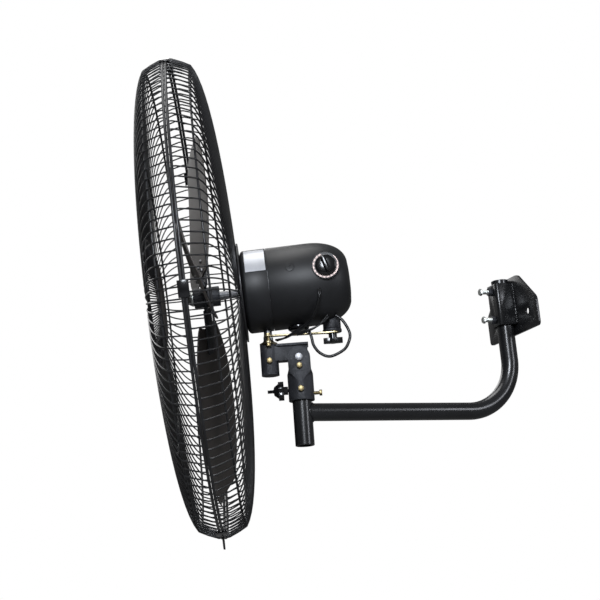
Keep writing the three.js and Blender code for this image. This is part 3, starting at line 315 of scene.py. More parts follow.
def white_stage():
    """Pale floor that the camera sees as plain white."""
    made = Finish("pale_floor")
    made.feed("Base Color", (0.22, 0.22, 0.22, 1))
    made.feed("Roughness", 0.9)
    path = made.tree.nodes.new("ShaderNodeLightPath")
    glow = made.tree.nodes.new("ShaderNodeEmission")
    glow.inputs[0].default_value = (1, 1, 1, 1)
    mixer = made.tree.nodes.new("ShaderNodeMixShader")
    made.tree.links.new(path.outputs["Is Camera Ray"], mixer.inputs[0])
    made.tree.links.new(made.shader.outputs[0], mixer.inputs[1])
    made.tree.links.new(glow.outputs[0], mixer.inputs[2])
    made.tree.links.new(mixer.outputs[0], made.tree.nodes["Material Output"].inputs[0])
    return made.material


PAINT = worked("black_paint", (0.009, 0.0092, 0.010), (0.014, 0.0145, 0.016), 0.27, 0.05,
               0.0, 20.0, 900.0, 0.03, 0.0003, 0.25)
WIRE_PAINT = worked("wire_paint", (0.012, 0.012, 0.013), (0.024, 0.024, 0.026), 0.42, 0.14,
                    0.0, 25.0, 900.0, 0.1, 0.0002, 0.25)
CAST = cast_iron_paint()
MOTOR = worked("motor_paint", (0.010, 0.0102, 0.011), (0.015, 0.0155, 0.0175), 0.46, 0.08,
               0.0, 22.0, 1100.0, 0.08, 0.0003, 0.0)
ZINC = worked("zinc_plate", (0.40, 0.42, 0.40), (0.66, 0.68, 0.66), 0.34, 0.16,
              1.0, 260.0, 1600.0, 0.12, 0.0002, 0.0, None, (0.25, 0.22, 0.18))
BRASS = worked("brass_screw", (0.28, 0.22, 0.11), (0.46, 0.37, 0.20), 0.42, 0.14,
               1.0, 300.0, 1500.0, 0.12, 0.0002, 0.0, None, (0.16, 0.10, 0.05))
YELLOW_ZINC = worked("yellow_zinc", (0.34, 0.29, 0.16), (0.55, 0.47, 0.30), 0.36, 0.16,
                     1.0, 120.0, 1300.0, 0.12, 0.0002, 0.0, None, (0.20, 0.14, 0.08))
STEEL = worked("bare_steel", (0.20, 0.20, 0.21), (0.34, 0.34, 0.35), 0.42, 0.14,
               1.0, 200.0, 1500.0, 0.1, 0.0002)
BLADE = worked("blade_sheet", (0.060, 0.051, 0.046), (0.088, 0.075, 0.068), 0.56, 0.10,
               0.2, 18.0, 700.0, 0.08, 0.0003, 0.0)
PLATE_BACK = worked("centre_plate_back", (0.075, 0.066, 0.06), (0.12, 0.105, 0.096), 0.45, 0.15,
                    0.4, 40.0, 800.0, 0.1, 0.0003)
PLASTIC = worked("black_plastic", (0.005, 0.005, 0.006), (0.009, 0.009, 0.010), 0.16, 0.06,
                 0.0, 50.0, 1500.0, 0.04, 0.0002, 0.2)
RUBBER = worked("cable_jacket", (0.006, 0.006, 0.007), (0.011, 0.011, 0.012), 0.34, 0.10,
                0.0, 120.0, 1500.0, 0.06, 0.0002, 0.1)
FOIL = worked("label_foil", (0.32, 0.32, 0.32), (0.42, 0.42, 0.42), 0.3, 0.1,
              0.8, 60.0, 1200.0, 0.08, 0.0002)
LABEL = worked("blank_label_foil", (0.60, 0.61, 0.64), (0.76, 0.77, 0.80), 0.34, 0.12,
               0.25, 30.0, 1200.0, 0.08, 0.0002)
COPPER = worked("copper_winding", (0.30, 0.13, 0.06), (0.50, 0.24, 0.12), 0.35, 0.1,
                1.0, 400.0, 2500.0, 0.3, 0.0003)
DIAL = dial_material()

# ---------------------------------------------------------------- mesh helpers


def piece(name, verts, faces, place, material, body, replaced=(), smooth=35, slot=None):
    """A mesh piece drawn in mm in a frame, finished at the origin in metres."""
    mesh = bpy.data.meshes.new(name)
    mesh.from_pydata([place @ Vector(v) * MM for v in verts], [], faces)
    return finished(name, mesh, material, body, replaced, smooth)


def finished(name, mesh, material, body, replaced=(), smooth=35):
    work = bmesh.new()
    work.from_mesh(mesh)
    bmesh.ops.remove_doubles(work, verts=work.verts, dist=1e-6)
    bmesh.ops.recalc_face_normals(work, faces=work.faces)
    work.to_mesh(mesh)
    work.free()
    mesh.name = name
    mesh.materials.clear()
    mesh.materials.append(material)
    mesh.shade_smooth()
    mesh.set_sharp_from_angle(angle=smooth * DEG)
    obj = bpy.data.objects.new(name, mesh)
    bpy.context.scene.collection.objects.link(obj)
    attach(obj, body)
    if replaced:
        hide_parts(*replaced)
    return obj


def evaluated(obj):
    """The plain mesh of an object with its modifiers applied, and the object removed."""
    graph = bpy.context.evaluated_depsgraph_get()
    mesh = bpy.data.meshes.new_from_object(obj.evaluated_get(graph))
    bpy.data.objects.remove(obj)
    return mesh


def loose(name, mesh):
    obj = bpy.data.objects.new(name, mesh)
    bpy.context.scene.collection.objects.link(obj)
    return obj


def grid(rows, closed_u=False, closed_v=False):
    """Vertices and quads of a net of point rows."""
    count = len(rows[0])
    verts = [p for row in rows for p in row]
    faces = []
    last_row = len(rows) if closed_v else len(rows) - 1
    last = count if closed_u else count - 1
    for i in range(last_row):
        for j in range(last):
            a, b = i * count + j, i * count + (j + 1) % count
            i2 = (i + 1) % len(rows)
            faces.append((a, b, i2 * count + (j + 1) % count, i2 * count + j))
    return verts, faces


def capped(rows):
    """A tube of closed point rows, with a face over each end."""
    verts, faces = grid(rows, closed_u=True)
    sides = len(rows[0])
    faces.append(tuple(range(sides)))
    faces.append(tuple(range(len(verts) - sides, len(verts))))
    return verts, faces


def joined(*parts):
    verts, faces = [], []
    for v, f in parts:
        base = len(verts)
        verts.extend(v)
        faces.extend(tuple(i + base for i in face) for face in f)
    return verts, faces


def spun(profile, sides, axis="x", centre=(0, 0, 0)):
    """A closed profile of (along, radius) points turned round an axis through a centre."""
    rows = []
    for k in range(sides):
        a = k / sides * TAU
        ca, sa = math.cos(a), math.sin(a)
        row = []
        for s, r in profile:
            point = {"x": (s, r * ca, r * sa), "y": (r * sa, s, r * ca), "z": (r * ca, r * sa, s)}[axis]
            row.append(tuple(p + c for p, c in zip(point, centre)))
        rows.append(row)
    return grid(rows, closed_v=True)


def round_profile(x0, x1, r, edge=0.5, steps=3):
    """Profile of a disc or pin whose two edges are rounded."""
    points = [(x0, 0.0)]
    for i in range(steps + 1):
        a = i / steps * math.pi / 2
        points.append((x0 + edge - edge * math.cos(a), r - edge + edge * math.sin(a)))
    for i in range(steps + 1):
        a = i / steps * math.pi / 2
        points.append((x1 - edge + edge * math.sin(a), r - edge + edge * math.cos(a)))
    points.append((x1, 0.0))
    return points


def torus(x, radius, wire, sides=160, round_sides=8):
    profile = [(x + wire * math.cos(k / round_sides * TAU),
                radius + wire * math.sin(k / round_sides * TAU)) for k in range(round_sides + 1)]
    return spun(profile, sides)


def circle(middle, radius, side, other, sides):
    """Points round a middle, in the plane of two unit directions."""
    return [middle + radius * (math.cos(k / sides * TAU) * side + math.sin(k / sides * TAU) * other)
            for k in range(sides)]


def tube(points, radius, sides=8):
    """A round tube through points, turned without twist."""
    pts = [Vector(p) for p in points]
    tangents = [(pts[min(i + 1, len(pts) - 1)] - pts[max(i - 1, 0)]).normalized()
                for i in range(len(pts))]
    side = tangents[0].orthogonal().normalized()
    rows = []
    for p, t in zip(pts, tangents):
        side = (side - t * side.dot(t)).normalized()
        rows.append(circle(p, radius, side, t.cross(side), sides))
    return capped(rows)


def spline(points, per=8):
    """Points on a smooth curve through the given ones."""
    pts = [Vector(p) for p in points]
    out = []
    for i in range(len(pts) - 1):
        p0, p1 = pts[max(i - 1, 0)], pts[i]
        p2, p3 = pts[i + 1], pts[min(i + 2, len(pts) - 1)]
        for k in range(per):
            t = k / per
            out.append(0.5 * (2 * p1 + (p2 - p0) * t + (2 * p0 - 5 * p1 + 4 * p2 - p3) * t * t
                              + (3 * p1 - p0 - 3 * p2 + p3) * t ** 3))
    return out + [pts[-1]]


def dressed(node, material, body, bevel=0.5, angle=32, segments=2, shape=None):
    """A CAD solid with its edges eased, which stands for its node."""
    copy = loose(node + "_work", NODES[node].data.copy())
    work = bmesh.new()
    work.from_mesh(copy.data)
    bmesh.ops.remove_doubles(work, verts=work.verts, dist=1e-6)
    bmesh.ops.dissolve_limit(work, angle_limit=1.5 * DEG, verts=work.verts, edges=work.edges)
    if shape:
        shape(work)
    work.to_mesh(copy.data)
    work.free()
    if bevel:
        ease = copy.modifiers.new("ease", "BEVEL")
        ease.width = bevel * MM
        ease.segments = segments
        ease.limit_method = "ANGLE"
        ease.angle_limit = angle * DEG
        ease.use_clamp_overlap = True
    mesh = evaluated(copy)
    return finished(node + "_piece", mesh, material, body, (node,), 40)


# ---------------------------------------------------------------- repeats by geometry nodes


def ring_group():
    """Copies its geometry round the X axis: inputs Geometry, Count, Start and Material."""
    group = bpy.data.node_groups.new("ring_of_copies", "GeometryNodeTree")
    face = group.interface
    face.new_socket("Geometry", in_out="INPUT", socket_type="NodeSocketGeometry")
    face.new_socket("Count", in_out="INPUT", socket_type="NodeSocketInt")
    face.new_socket("Start", in_out="INPUT", socket_type="NodeSocketFloat")
    face.new_socket("Material", in_out="INPUT", socket_type="NodeSocketMaterial")
    face.new_socket("Geometry", in_out="OUTPUT", socket_type="NodeSocketGeometry")
    new, link = group.nodes.new, group.links.new
    source, result = new("NodeGroupInput"), new("NodeGroupOutput")
    points = new("GeometryNodePoints")
    link(source.outputs["Count"], points.inputs["Count"])
    index = new("GeometryNodeInputIndex")
    step = new("ShaderNodeMath")
    step.operation = "DIVIDE"
    step.inputs[0].default_value = TAU
    link(source.outputs["Count"], step.inputs[1])
    angle = new("ShaderNodeMath")
    angle.operation = "MULTIPLY_ADD"
    link(index.outputs[0], angle.inputs[0])
    link(step.outputs[0], angle.inputs[1])
    link(source.outputs["Start"], angle.inputs[2])
    turn = new("ShaderNodeCombineXYZ")
    link(angle.outputs[0], turn.inputs["X"])
    copies = new("GeometryNodeInstanceOnPoints")
    link(points.outputs[0], copies.inputs["Points"])
    link(source.outputs["Geometry"], copies.inputs["Instance"])
    link(turn.outputs[0], copies.inputs["Rotation"])
    real = new("GeometryNodeRealizeInstances")
    link(copies.outputs[0], real.inputs[0])
    paint = new("GeometryNodeSetMaterial")
    link(real.outputs[0], paint.inputs["Geometry"])
    link(source.outputs["Material"], paint.inputs["Material"])
    link(paint.outputs[0], result.inputs[0])
    return group


RING = ring_group()


def around(part, count, start, material):
    """The mesh data of one part repeated round the X axis of its frame."""
    mesh = bpy.data.meshes.new("one")
    mesh.from_pydata([Vector(v) for v in part[0]], [], part[1])
    obj = loose("ring_work", mesh)
    modifier = obj.modifiers.new("ring", "NODES")
    modifier.node_group = RING
    keys = {s.name: s.identifier for s in RING.interface.items_tree if s.in_out == "INPUT"}
    modifier[keys["Count"]] = count
    modifier[keys["Start"]] = float(start)
    modifier[keys["Material"]] = material
    out = evaluated(obj)
    verts = [tuple(v.co) for v in out.vertices]
    faces = [tuple(f.vertices) for f in out.polygons]
    bpy.data.meshes.remove(out)
    return verts, faces


# ---------------------------------------------------------------- wall bracket and arm


def arm_pieces():
    turn = 90 * DEG + ARM_RISE
    tangent = ARM_BEND_R * math.tan(turn / 2)
    along = Vector((math.cos(ARM_RISE), 0, -math.sin(ARM_RISE)))
    inward = Vector((math.sin(ARM_RISE), 0, math.cos(ARM_RISE)))
    start = Vector((LEG_X, 0, RUN_Z)) - along * tangent
    centre = start + inward * ARM_BEND_R
    begin = Vector((STUB_X, 0, STUB_Z)) + along * (STUB_R * 0.6)
    points = [begin.lerp(start, i / 4) for i in range(4)]
    for i in range(33):
        spin = Matrix.Rotation(-turn * i / 32, 3, "Y")
        points.append(centre - spin @ inward * ARM_BEND_R)
    last = points[-1]
    points += [last.lerp(Vector((LEG_X, 0, LEG_TOP - 0.6)), i / 3) for i in (1, 2)]
    top = Vector((LEG_X, 0, LEG_TOP))
    lip = [(top - Vector((0, 0, 0.6)), ARM_R), (top, ARM_R - 0.6),
           (top, ARM_R - ARM_WALL + 0.5), (top - Vector((0, 0, 0.6)), ARM_R - ARM_WALL),
           (top - Vector((0, 0, 60)), ARM_R - ARM_WALL)]
    sides = 40
    side = Vector((0, 1, 0))
    rows = []
    for i, p in enumerate(points):
        t = (points[min(i + 1, len(points) - 1)] - points[max(i - 1, 0)]).normalized()
        rows.append(circle(p, ARM_R, side, t.cross(side), sides))
    rows += [circle(p, r, side, Vector((0, 0, 1)).cross(side), sides) for p, r in lip]
    piece("arm_tube_piece", *capped(rows), WORLD, PAINT, "arm", ("arm_tube",), 40, "black_paint")

    profile = [(-STUB_BELOW, STUB_R - STUB_WALL), (-STUB_BELOW, STUB_R - 0.6),
               (-STUB_BELOW + 0.6, STUB_R), (STUB_ABOVE - 0.6, STUB_R), (STUB_ABOVE, STUB_R - 0.6),
               (STUB_ABOVE, STUB_R - STUB_WALL), (-STUB_BELOW, STUB_R - STUB_WALL)]
    piece("stub_tube_piece", *spun(profile, 48, "z"), STUB, PAINT, "arm",
          ("stub_tube",), 40, "black_paint")

    # weld bead where the run meets the stub
    rows = []
    for k in range(48):
        a = k / 48 * TAU
        y, z = ARM_R * math.cos(a), ARM_R * math.sin(a)
        x = math.sqrt(max(STUB_R ** 2 - y * y, 0))
        out = Vector((0.7, math.cos(a), math.sin(a))).normalized()
        lump = 1.7 + 0.5 * math.sin(a * 19) + 0.3 * math.sin(a * 31 + 1)
        ring = []
        for j in range(8):
            b = j / 8 * TAU
            ring.append(Vector((x + 0.6, y, z)) + lump * (
                math.cos(b) * out + math.sin(b) * Vector((1, 0, 0)) * 0.9))
        rows.append(ring)
    verts, faces = grid(rows, closed_u=True, closed_v=True)
    piece("stub_weld", verts, faces, STUB, PAINT, "arm", (), 80, "black_paint")


def weld_seam(name, start, end, lumps, radius=2.2, flat=Vector((1, 0, 0))):
    """A lumpy bead laid along a straight joint."""
    a, b = Vector(start), Vector(end)
    steps = lumps * 4
    points, radii = [], []
    for i in range(steps + 1):
        t = i / steps
        points.append(a.lerp(b, t))
        radii.append(radius * (0.82 + 0.2 * math.sin(t * lumps * TAU) + 0.12 * math.sin(t * 53.0)))
    direction = (b - a).normalized()
    other = direction.cross(flat).normalized()
    rows = [circle(p, r, flat, other, 8) for p, r in zip(points, radii)]
    piece(name, *capped(rows), WORLD, PAINT, "wall_bracket", (), 80, "black_paint")


def hex_bolt(name, place, shank_r, length, flats, head, body, node, material, slot):
    """A bolt along its own X axis: head outward at negative X, threaded shank inward."""
    pitch = 1.0
    rows = [(0.0, 0.0), (0.0, shank_r)]
    turns = int(length / pitch)
    for i in range(turns):
        rows.append((i * pitch + 0.25, shank_r))
        rows.append((i * pitch + 0.6, shank_r - 0.45))
    rows += [(length - 0.4, shank_r - 0.4), (length, 0.0)]
    shank = spun(rows, 20)
    corner = flats / 2 / math.cos(30 * DEG)
    levels = [(0.0, 1.0), (-head + 0.8, 1.0), (-head, 0.88)]
    rings = []
    for x, k in levels:
        rings.append([(x, corner * k * math.cos((i * 60 + 30) * DEG),
                       corner * k * math.sin((i * 60 + 30) * DEG)) for i in range(6)])
    cap = grid(rings, closed_u=True)
    cap[1].append(tuple(range(6)))
    cap[1].append(tuple(range(12, 18)))
    piece(name, *joined(shank, cap), place, material, body, (node,), 30, slot)


def plate_corners(work):
    """Rounds the outer corners of the wall plate."""
    corners = [e for e in work.edges if abs((e.verts[0].co - e.verts[1].co).normalized().x) > 0.99
               and len(e.link_faces) == 2 and e.calc_face_angle_signed() > 0.2]
    bmesh.ops.bevel(work, geom=corners, offset=6.5 * MM, segments=6, affect="EDGES", profile=0.5)


def wall_pieces():
    dressed("wall_plate", PAINT, "wall_bracket", 0.7, 60, shape=plate_corners)
    dressed("sleeve_channel", PAINT, "wall_bracket", 0.5, 40)
    for side in (-1, 1):
        weld_seam(f"sleeve_weld_{'far' if side > 0 else 'near'}",
                  (-6.4, side * 19.2, 1 - SLEEVE_HEIGHT / 2),
                  (-6.4, side * 19.2, SLEEVE_HEIGHT / 2 - 1), 10, 2.9)
    for name, z in (("upper", CLAMP_SPACING / 2), ("lower", -CLAMP_SPACING / 2)):
        dressed(f"{name}_clamp_nut", CAST, "wall_bracket", 0.6, 40)
        place = move(-46.35 - 13.0, 0, z)
        hex_bolt(f"{name}_clamp_bolt_piece", place, 3.9, 23.4, 11, 4, f"{name}_bolt",
                 f"{name}_clamp_bolt", ZINC, "zinc")


# ---------------------------------------------------------------- motor


def dome(offset, steps=16):
    bulge = MOTOR_REAR - MOTOR_STRAIGHT
    points = []
    for i in range(steps + 1):
        a = i / steps * 78 * DEG
        points.append((MOTOR_STRAIGHT + bulge * math.sin(a) ** 0.92 + offset,
                       MOTOR_REAR_R + (MOTOR_R - MOTOR_REAR_R) * math.cos(a) ** 0.8 + offset))
    points.append((MOTOR_REAR + offset, MOTOR_REAR_R + offset))
    return points


def motor_pieces():
    f = MOTOR_FRONT
    r = MOTOR_R
    front = [(f + 3, 7.5), (f, 7.5), (f, r - 10), (f + 0.6, r - 6.5), (f + 2.4, r - 3),
             (f + 4.4, r - 0.8), (f + 6.8, r), (MOTOR_SEAM - 0.8, r), (MOTOR_SEAM - 0.2, r - 0.3),
             (MOTOR_SEAM, r - 0.8), (MOTOR_SEAM, r - 3), (f + 8, r - 3), (f + 3, r - 11),
             (f + 3, 7.5)]
    plug = spun(round_profile(r - 2, r + 1.3, 3.5, 0.7), 24, "z", (PLUG_X, 0, 0))
    piece("motor_front_piece", *joined(spun(front, 96), plug), AXIS, MOTOR, "head",
          ("motor_front_cover",), 30, "motor_paint")
    s = MOTOR_SEAM + 0.35
    rear = [(s, r - 3), (s, r - 0.8), (s + 0.2, r - 0.3), (s + 0.8, r)] + dome(0) + [
        (MOTOR_REAR, 0), (MOTOR_REAR - 3, 0)] + dome(-3)[::-1] + [(s, r - 3)]
    shell = spun(rear, 96)
    pad = spun(round_profile(-DIAL_FACE, -DIAL_FACE + 22, DIAL_R + 1.5, 0.8), 64, "y",
               (DIAL_X, 0, DIAL_Z))
    boss = spun([(-r - 0.4, 0), (-r - 0.4, 2.2), (-r - 0.9, 2.6), (-r - 0.9, 7.2), (-r - 0.6, 8),
                 (-r + 2, 8), (-r + 2, 0)], 40, "y", (BOSS_X, 0, 0))
    lift = Matrix.Rotation(-BOSS_LIFT, 3, "X")
    boss = ([tuple(lift @ Vector(v)) for v in boss[0]], boss[1])
    piece("motor_rear_piece", *joined(shell, pad, boss), AXIS, MOTOR, "head",
          ("motor_rear_cover",), 30, "motor_paint")


def control_pieces():
    face = -DIAL_FACE - 0.35
    ring = [(face, 5), (face, DIAL_R), (face - 1.3, DIAL_R), (face - 1.6, DIAL_R - 0.3),
            (face - 1.6, 5), (face, 5)]
    piece("dial_plate_piece", *spun(ring, 72, "y", (DIAL_X, 0, DIAL_Z)), AXIS, DIAL, "head",
          ("dial_plate",), 30, "dial_print")
    back = face - 2.0
    crown = [(back - 3.6 - 3.4 * math.sin(i / 12 * 90 * DEG), (KNOB_R - 0.6) * math.cos(i / 12 * 90 * DEG))
             for i in range(13)]
    skirt = spun([(back, 0), (back, KNOB_R - 0.8), (back - 0.6, KNOB_R - 0.2)] + crown, 72, "y",
                 (DIAL_X, 0, DIAL_Z))
    turn = Matrix.Rotation(KNOB_TURN, 4, "Y")
    rings = []
    for y, wide, tall in ((back - 4, 5.0, 14.4), (back - 8, 4.4, 14.2), (back - 12.4, 3.7, 13.8),
                          (back - 13.6, 3.0, 13.2), (back - 13.95, 2.0, 12.0)):
        row = []
        for k in range(32):
            a = k / 32 * TAU
            ca, sa = math.cos(a), math.sin(a)
            u = wide * math.copysign(abs(ca) ** 0.5, ca)
            v = tall * math.copysign(abs(sa) ** 0.5, sa)
            row.append(tuple(turn @ Vector((u, 0, v)) + Vector((DIAL_X, y, DIAL_Z))))
        rings.append(row)
    grip = grid(rings, closed_u=True)
    grip[1].append(tuple(range(32)))
    grip[1].append(tuple(range(128, 160)))
    piece("speed_knob_piece", *joined(skirt, grip), AXIS, PLASTIC, "speed_knob",
          ("speed_knob",), 35, "black_plastic")


# ---------------------------------------------------------------- neck and drive

BRASS_HEADS = ("socket_front_screw", "socket_rear_screw", "tilt_lock_screw", "pivot_stop_screw",
               "anchor_pin")


def neck_pieces():
    dressed("neck_socket", CAST, "neck", 0.9, 34)
    dressed("tilt_bracket", CAST, "tilt_bracket", 1.0, 34, 3)
    for node in BRASS_HEADS:
        body = "tilt_bracket" if node in ("pivot_stop_screw", "anchor_pin") else "neck"
        dressed(node, BRASS, body, 0.4, 34)
    for node, body in (("tilt_pin", "neck"), ("tilt_pin_nut", "neck"), ("pivot_shaft", "head")):
        dressed(node, STEEL, body, 0.4, 34)
    dressed("pivot_nut", ZINC, "head", 0.5, 34)
    dressed("pivot_bush", CAST, "head", 0.3, 34)
    dressed("link_anchor", YELLOW_ZINC, "tilt_bracket", 0.4, 34)
    dressed("link_rod", YELLOW_ZINC, "link_rod", 0.4, 34)
    dressed("gear_case", CAST, "head", 0.8, 34)
    dressed("crank_disc", CAST, "crank", 0.6, 34)
    dressed("wing_knob", PLASTIC, "wing_knob", 0.9, 34, 3)
    dressed("hand_knob", PLASTIC, "hand_knob", 0.9, 34, 3)
    dressed("terminal_cap", PLASTIC, "head", 0.8, 34)


LOOP = (
    (229, -21.2, -62.2), (240, -22, -74), (248, -23, -96), (243, -25, -113), (233, -27, -124),
    (211, -28, -131.5), (195, -28, -124), (186, -28, -110), (184, -28, -96), (181, -27, -84),
    (174, -23, -75.5), (169.8, -18.6, -72.8))
SIDE_LEAD = (
    (206, -66.8, -24.3), (205, -70, -33), (200, -66, -47), (192, -52, -62), (181, -38, -73),
    (156, -26, -84), (140, -17, -89), (125.2, -4.4, -88.6))
UNDER_LEAD = ((216, -28, -63), (206, -31, -72), (194, -33, -80), (178, -33, -85), (160, -27, -87.5))


def twin(points, apart, radius, sides=10):
    """Two thin conductors side by side that wind slowly round each other."""
    line = spline(points)
    strands = []
    for phase in (0.0, math.pi):
        strand = []
        for i, p in enumerate(line):
            t = (line[min(i + 1, len(line) - 1)] - line[max(i - 1, 0)]).normalized()
            side = t.cross(Vector((0, 1, 0))).normalized()
            a = phase + i * 0.09
            strand.append(p + apart * (math.cos(a) * side + math.sin(a) * t.cross(side)))
        strands.append(tube(strand, radius, sides))
    return joined(*strands)


def cable_pieces():
    piece("wiring_loop_piece", *tube(spline(LOOP), 2.5, 14), AXIS, RUBBER, "head",
          ("wiring_loop",), 60, "cable_jacket")
    leads = joined(twin(SIDE_LEAD, 1.5, 1.65), twin(UNDER_LEAD, 1.4, 1.5))
    piece("motor_leads_piece", *leads, AXIS, RUBBER, "head",
          ("motor_leads",), 60, "cable_jacket")


# ---------------------------------------------------------------- guard


def guard_depth(r):
    """Half the guard's depth at a radius: full to the shoulder, then drawn in to the rim."""
    full = GUARD_DEPTH * max(1 - (r / GUARD_R) ** 2, 0.0) ** 0.25
    return min(full, 2.4 * (GUARD_R - r) + 7.0)


def wire_line(side, inner, tail):
    """Points of one radial wire, from the rim to the middle, in the plane of the guard's axis."""
    points = [(GUARD_R - 0.4, RIM_R), (GUARD_R - 0.8, 9.0)]
    a = 8
    while True:
        r = GUARD_R * math.cos(a * DEG) ** 0.75
        if r < inner:
            break
        if guard_depth(r) > 14:
            points.append((r, guard_depth(r)))
        a += 5 if a < 60 else 3
    points += tail
    return [(side * d, r, 0.0) for r, d in points]


def guard_pieces():
    rear_tail = [(REAR_RING_R + 1, GUARD_DEPTH - 1.2)]
    rear_wire = tube(wire_line(1, REAR_RING_R + 6, rear_tail), WIRE_R, 6)
    rear = joined(
        around(rear_wire, WIRES, 0.5 * TAU / WIRES, WIRE_PAINT),
        torus(RIM_R + 0.2, GUARD_R, RIM_R, 200),
        torus(guard_depth(SHOULDER_R) - 2.2, SHOULDER_R - 1.4, 1.9, 180),
        torus(guard_depth(MID_R) - 2.6, MID_R, 1.7, 160),
        torus(GUARD_DEPTH - 1.2, REAR_RING_R + 1, 2.0, 96))
    piece("rear_guard_piece", *rear, AXIS, WIRE_PAINT, "head", ("rear_guard",), 80, "black_paint")

    front_tail = [(DISH_R - 12, GUARD_DEPTH - 2.5), (DISH_R - 26, GUARD_DEPTH - 8.5),
                  (DISH_R - 40, DISH_DEPTH + 2.5), (FRONT_RING_R + 2, DISH_DEPTH)]
    front_wire = tube(wire_line(-1, DISH_R, front_tail), WIRE_R, 6)
    front = joined(
        around(front_wire, WIRES, 0.0, WIRE_PAINT),
        torus(-RIM_R - 0.2, GUARD_R, RIM_R, 200),
        torus(-guard_depth(SHOULDER_R) + 2.2, SHOULDER_R - 1.4, 1.9, 180),
        torus(-guard_depth(MID_R) + 2.6, MID_R, 1.7, 160),
        torus(-GUARD_DEPTH + 4.0, DISH_R - 10, 1.7, 120),
        torus(-DISH_DEPTH, FRONT_RING_R + 2, 2.0, 96))
    piece("front_guard_piece", *front, AXIS, WIRE_PAINT, "head", ("front_guard",), 80,
          "black_paint")

    plate = [(-DISH_DEPTH - 3.5, 0), (-DISH_DEPTH - 2.5, 52), (-DISH_DEPTH, 58.5),
             (-DISH_DEPTH + 1.4, 61), (-DISH_DEPTH + 2.2, 60.4), (-DISH_DEPTH + 1.0, 57.5),
             (-DISH_DEPTH - 1.3, 51), (-DISH_DEPTH - 2.2, 0)]
    piece("centre_plate_piece", *spun(plate, 96), AXIS, PLATE_BACK, "head",
          ("guard_centre_plate",), 30, "blade_metal")
    dressed("guard_mount_plate", WIRE_PAINT, "head", 0.4, 34)
    dressed("rim_top_tab", WIRE_PAINT, "head", 0.5, 34)
    dressed("rim_bottom_tab", WIRE_PAINT, "head", 0.5, 34)
    for i in range(1, 6):
        dressed(f"rim_clip_{i}", PLASTIC, "head", 0.4, 34)


# ---------------------------------------------------------------- rotor


def blade_surface(back, rows=28, columns=20):
    net = []
    for i in range(rows + 1):
        t = i / rows
        r = BLADE_ROOT + (BLADE_TIP - BLADE_ROOT) * t
        half = 34 + 90 * math.sin(min(t * 1.15, 1) * 90 * DEG) ** 0.9
        trim = 1 - ((t - 0.86) / 0.14) ** 2 * 0.35 if t > 0.86 else 1
        pitch = BLADE_ROOT_PITCH + (BLADE_TIP_PITCH - BLADE_ROOT_PITCH) * t
        row = []
        for j in range(columns + 1):
            s = j / columns * 2 - 1
            chord = s * half * trim
            forward = chord * math.sin(pitch) + (1 - s * s) * 10 * t + (0 if back else BLADE_T)
            a = chord * math.cos(pitch) / max(r, 60)
            row.append((BLADE_BACK - forward, r * math.sin(a), r * math.cos(a)))
        net.append(row)
    return net


def blade_mesh():
    front, back = blade_surface(False), blade_surface(True)
    rows = [f + b[::-1] for f, b in zip(front, back)]
    verts, faces = grid(rows, closed_u=True)
    width = len(rows[0])
    half = width // 2
    for base in (0, len(verts) - width):
        for j in range(half - 1):
            faces.append((base + j, base + j + 1, base + width - 2 - j, base + width - 1 - j))
    return verts, faces


def rotor_pieces():
    for i in range(3):
        place = AXIS @ Matrix.Rotation(BLADE_FIRST + i / 3 * TAU, 4, "X")
        piece(f"blade_piece_{i + 1}", *blade_mesh(), place, BLADE, "rotor",
              (f"blade_{i + 1}",), 50, "blade_metal")
    dressed("blade_spider", CAST, "rotor", 0.5, 34)
    for node in ("fan_hub", "rear_hub_collar"):
        dressed(node, CAST, "rotor", 0.5, 34)
    dressed("spinner", ZINC, "rotor", 0.6, 34)
    rivets = []
    for k, (r, y) in enumerate(((62, -9), (62, 9), (86, -8), (86, 8))):
        rivets.append(spun([(-4.6, 0), (-4.3, 1.8), (-3.4, 3.2), (-2.2, 3.6), (0.0, 3.6), (0.0, 0)],
                           16, "x", (0, y, r)))
    tilted = Matrix.Rotation(BLADE_ROOT_PITCH * 0.95, 4, "Z")
    verts, faces = joined(*rivets)
    verts = [tuple(move(12.0) @ tilted @ Vector(v)) for v in verts]
    for i in range(3):
        place = AXIS @ Matrix.Rotation(BLADE_FIRST + i / 3 * TAU, 4, "X")
        piece(f"blade_rivets_{i + 1}", verts, faces, place, STEEL, "rotor", (), 40, "steel")


# ---------------------------------------------------------------- inner pieces and stage

INNER = {
    "stator_core": STEEL, "stator_winding": COPPER, "rotor_core": COPPER, "motor_shaft": STEEL,
    "front_bearing": STEEL, "rear_bearing": STEEL, "run_capacitor": FOIL, "speed_switch": PLASTIC,
    "blank_label": LABEL,
}


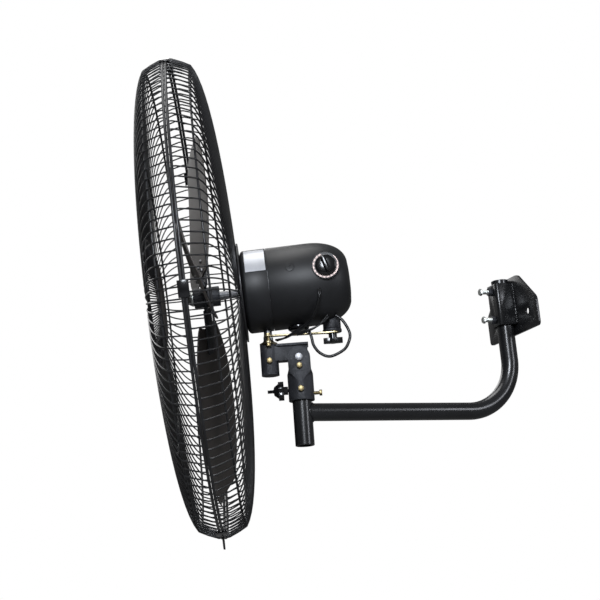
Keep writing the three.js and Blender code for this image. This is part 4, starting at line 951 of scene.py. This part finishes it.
def inner_materials():
    for node, material in INNER.items():
        mesh = NODES[node].data
        mesh.materials.clear()
        mesh.materials.append(material)


def area_light(name, place, target, size, power, tint=(1, 1, 1)):
    data = bpy.data.lights.new(name, "AREA")
    data.color = tint
    data.shape = "RECTANGLE"
    data.size, data.size_y = size
    data.energy = power
    obj = bpy.data.objects.new(name, data)
    bpy.context.scene.collection.objects.link(obj)
    obj.location = place
    aim = (Vector(target) - Vector(place)).to_track_quat("-Z", "Y")
    obj.rotation_euler = aim.to_euler()


def studio():
    middle = (-0.45, 0.0, 0.05)
    area_light("key_softbox", (-1.55, -2.6, 1.0), middle, (0.6, 1.0), 60, (0.88, 0.93, 1.0))
    area_light("top_softbox", (-0.7, 0.3, 2.9), middle, (2.4, 1.2), 34)
    area_light("side_softbox", (1.5, -2.65, 0.62), (0, 0, 0), (0.6, 1.0), 17, (0.9, 0.93, 1.0))
    area_light("back_softbox", (-0.6, 2.4, 1.6), middle, (2.0, 1.4), 22)
    mesh = bpy.data.meshes.new("floor")
    mesh.from_pydata([(-8, -8, -0.75), (8, -8, -0.75), (8, 8, -0.75), (-8, 8, -0.75)], [], [(0, 1, 2, 3)])
    mesh.materials.append(white_stage())
    floor = loose("floor", mesh)
    world = bpy.data.worlds.new("studio")
    world.use_nodes = True
    bpy.context.scene.world = world
    tree = world.node_tree
    background = tree.nodes["Background"]
    path = tree.nodes.new("ShaderNodeLightPath")
    strength = tree.nodes.new("ShaderNodeMath")
    strength.operation = "MULTIPLY_ADD"
    strength.inputs[1].default_value = 0.84
    strength.inputs[2].default_value = 0.16
    tree.links.new(path.outputs["Is Camera Ray"], strength.inputs[0])
    tree.links.new(strength.outputs[0], background.inputs["Strength"])
    background.inputs["Color"].default_value = (1, 1, 1, 1)
    bpy.context.scene.view_settings.view_transform = "Standard"


make_camera()
arm_pieces()
wall_pieces()
motor_pieces()
control_pieces()
neck_pieces()
cable_pieces()
guard_pieces()
rotor_pieces()
inner_materials()
studio()

bpy.context.view_layer.update()
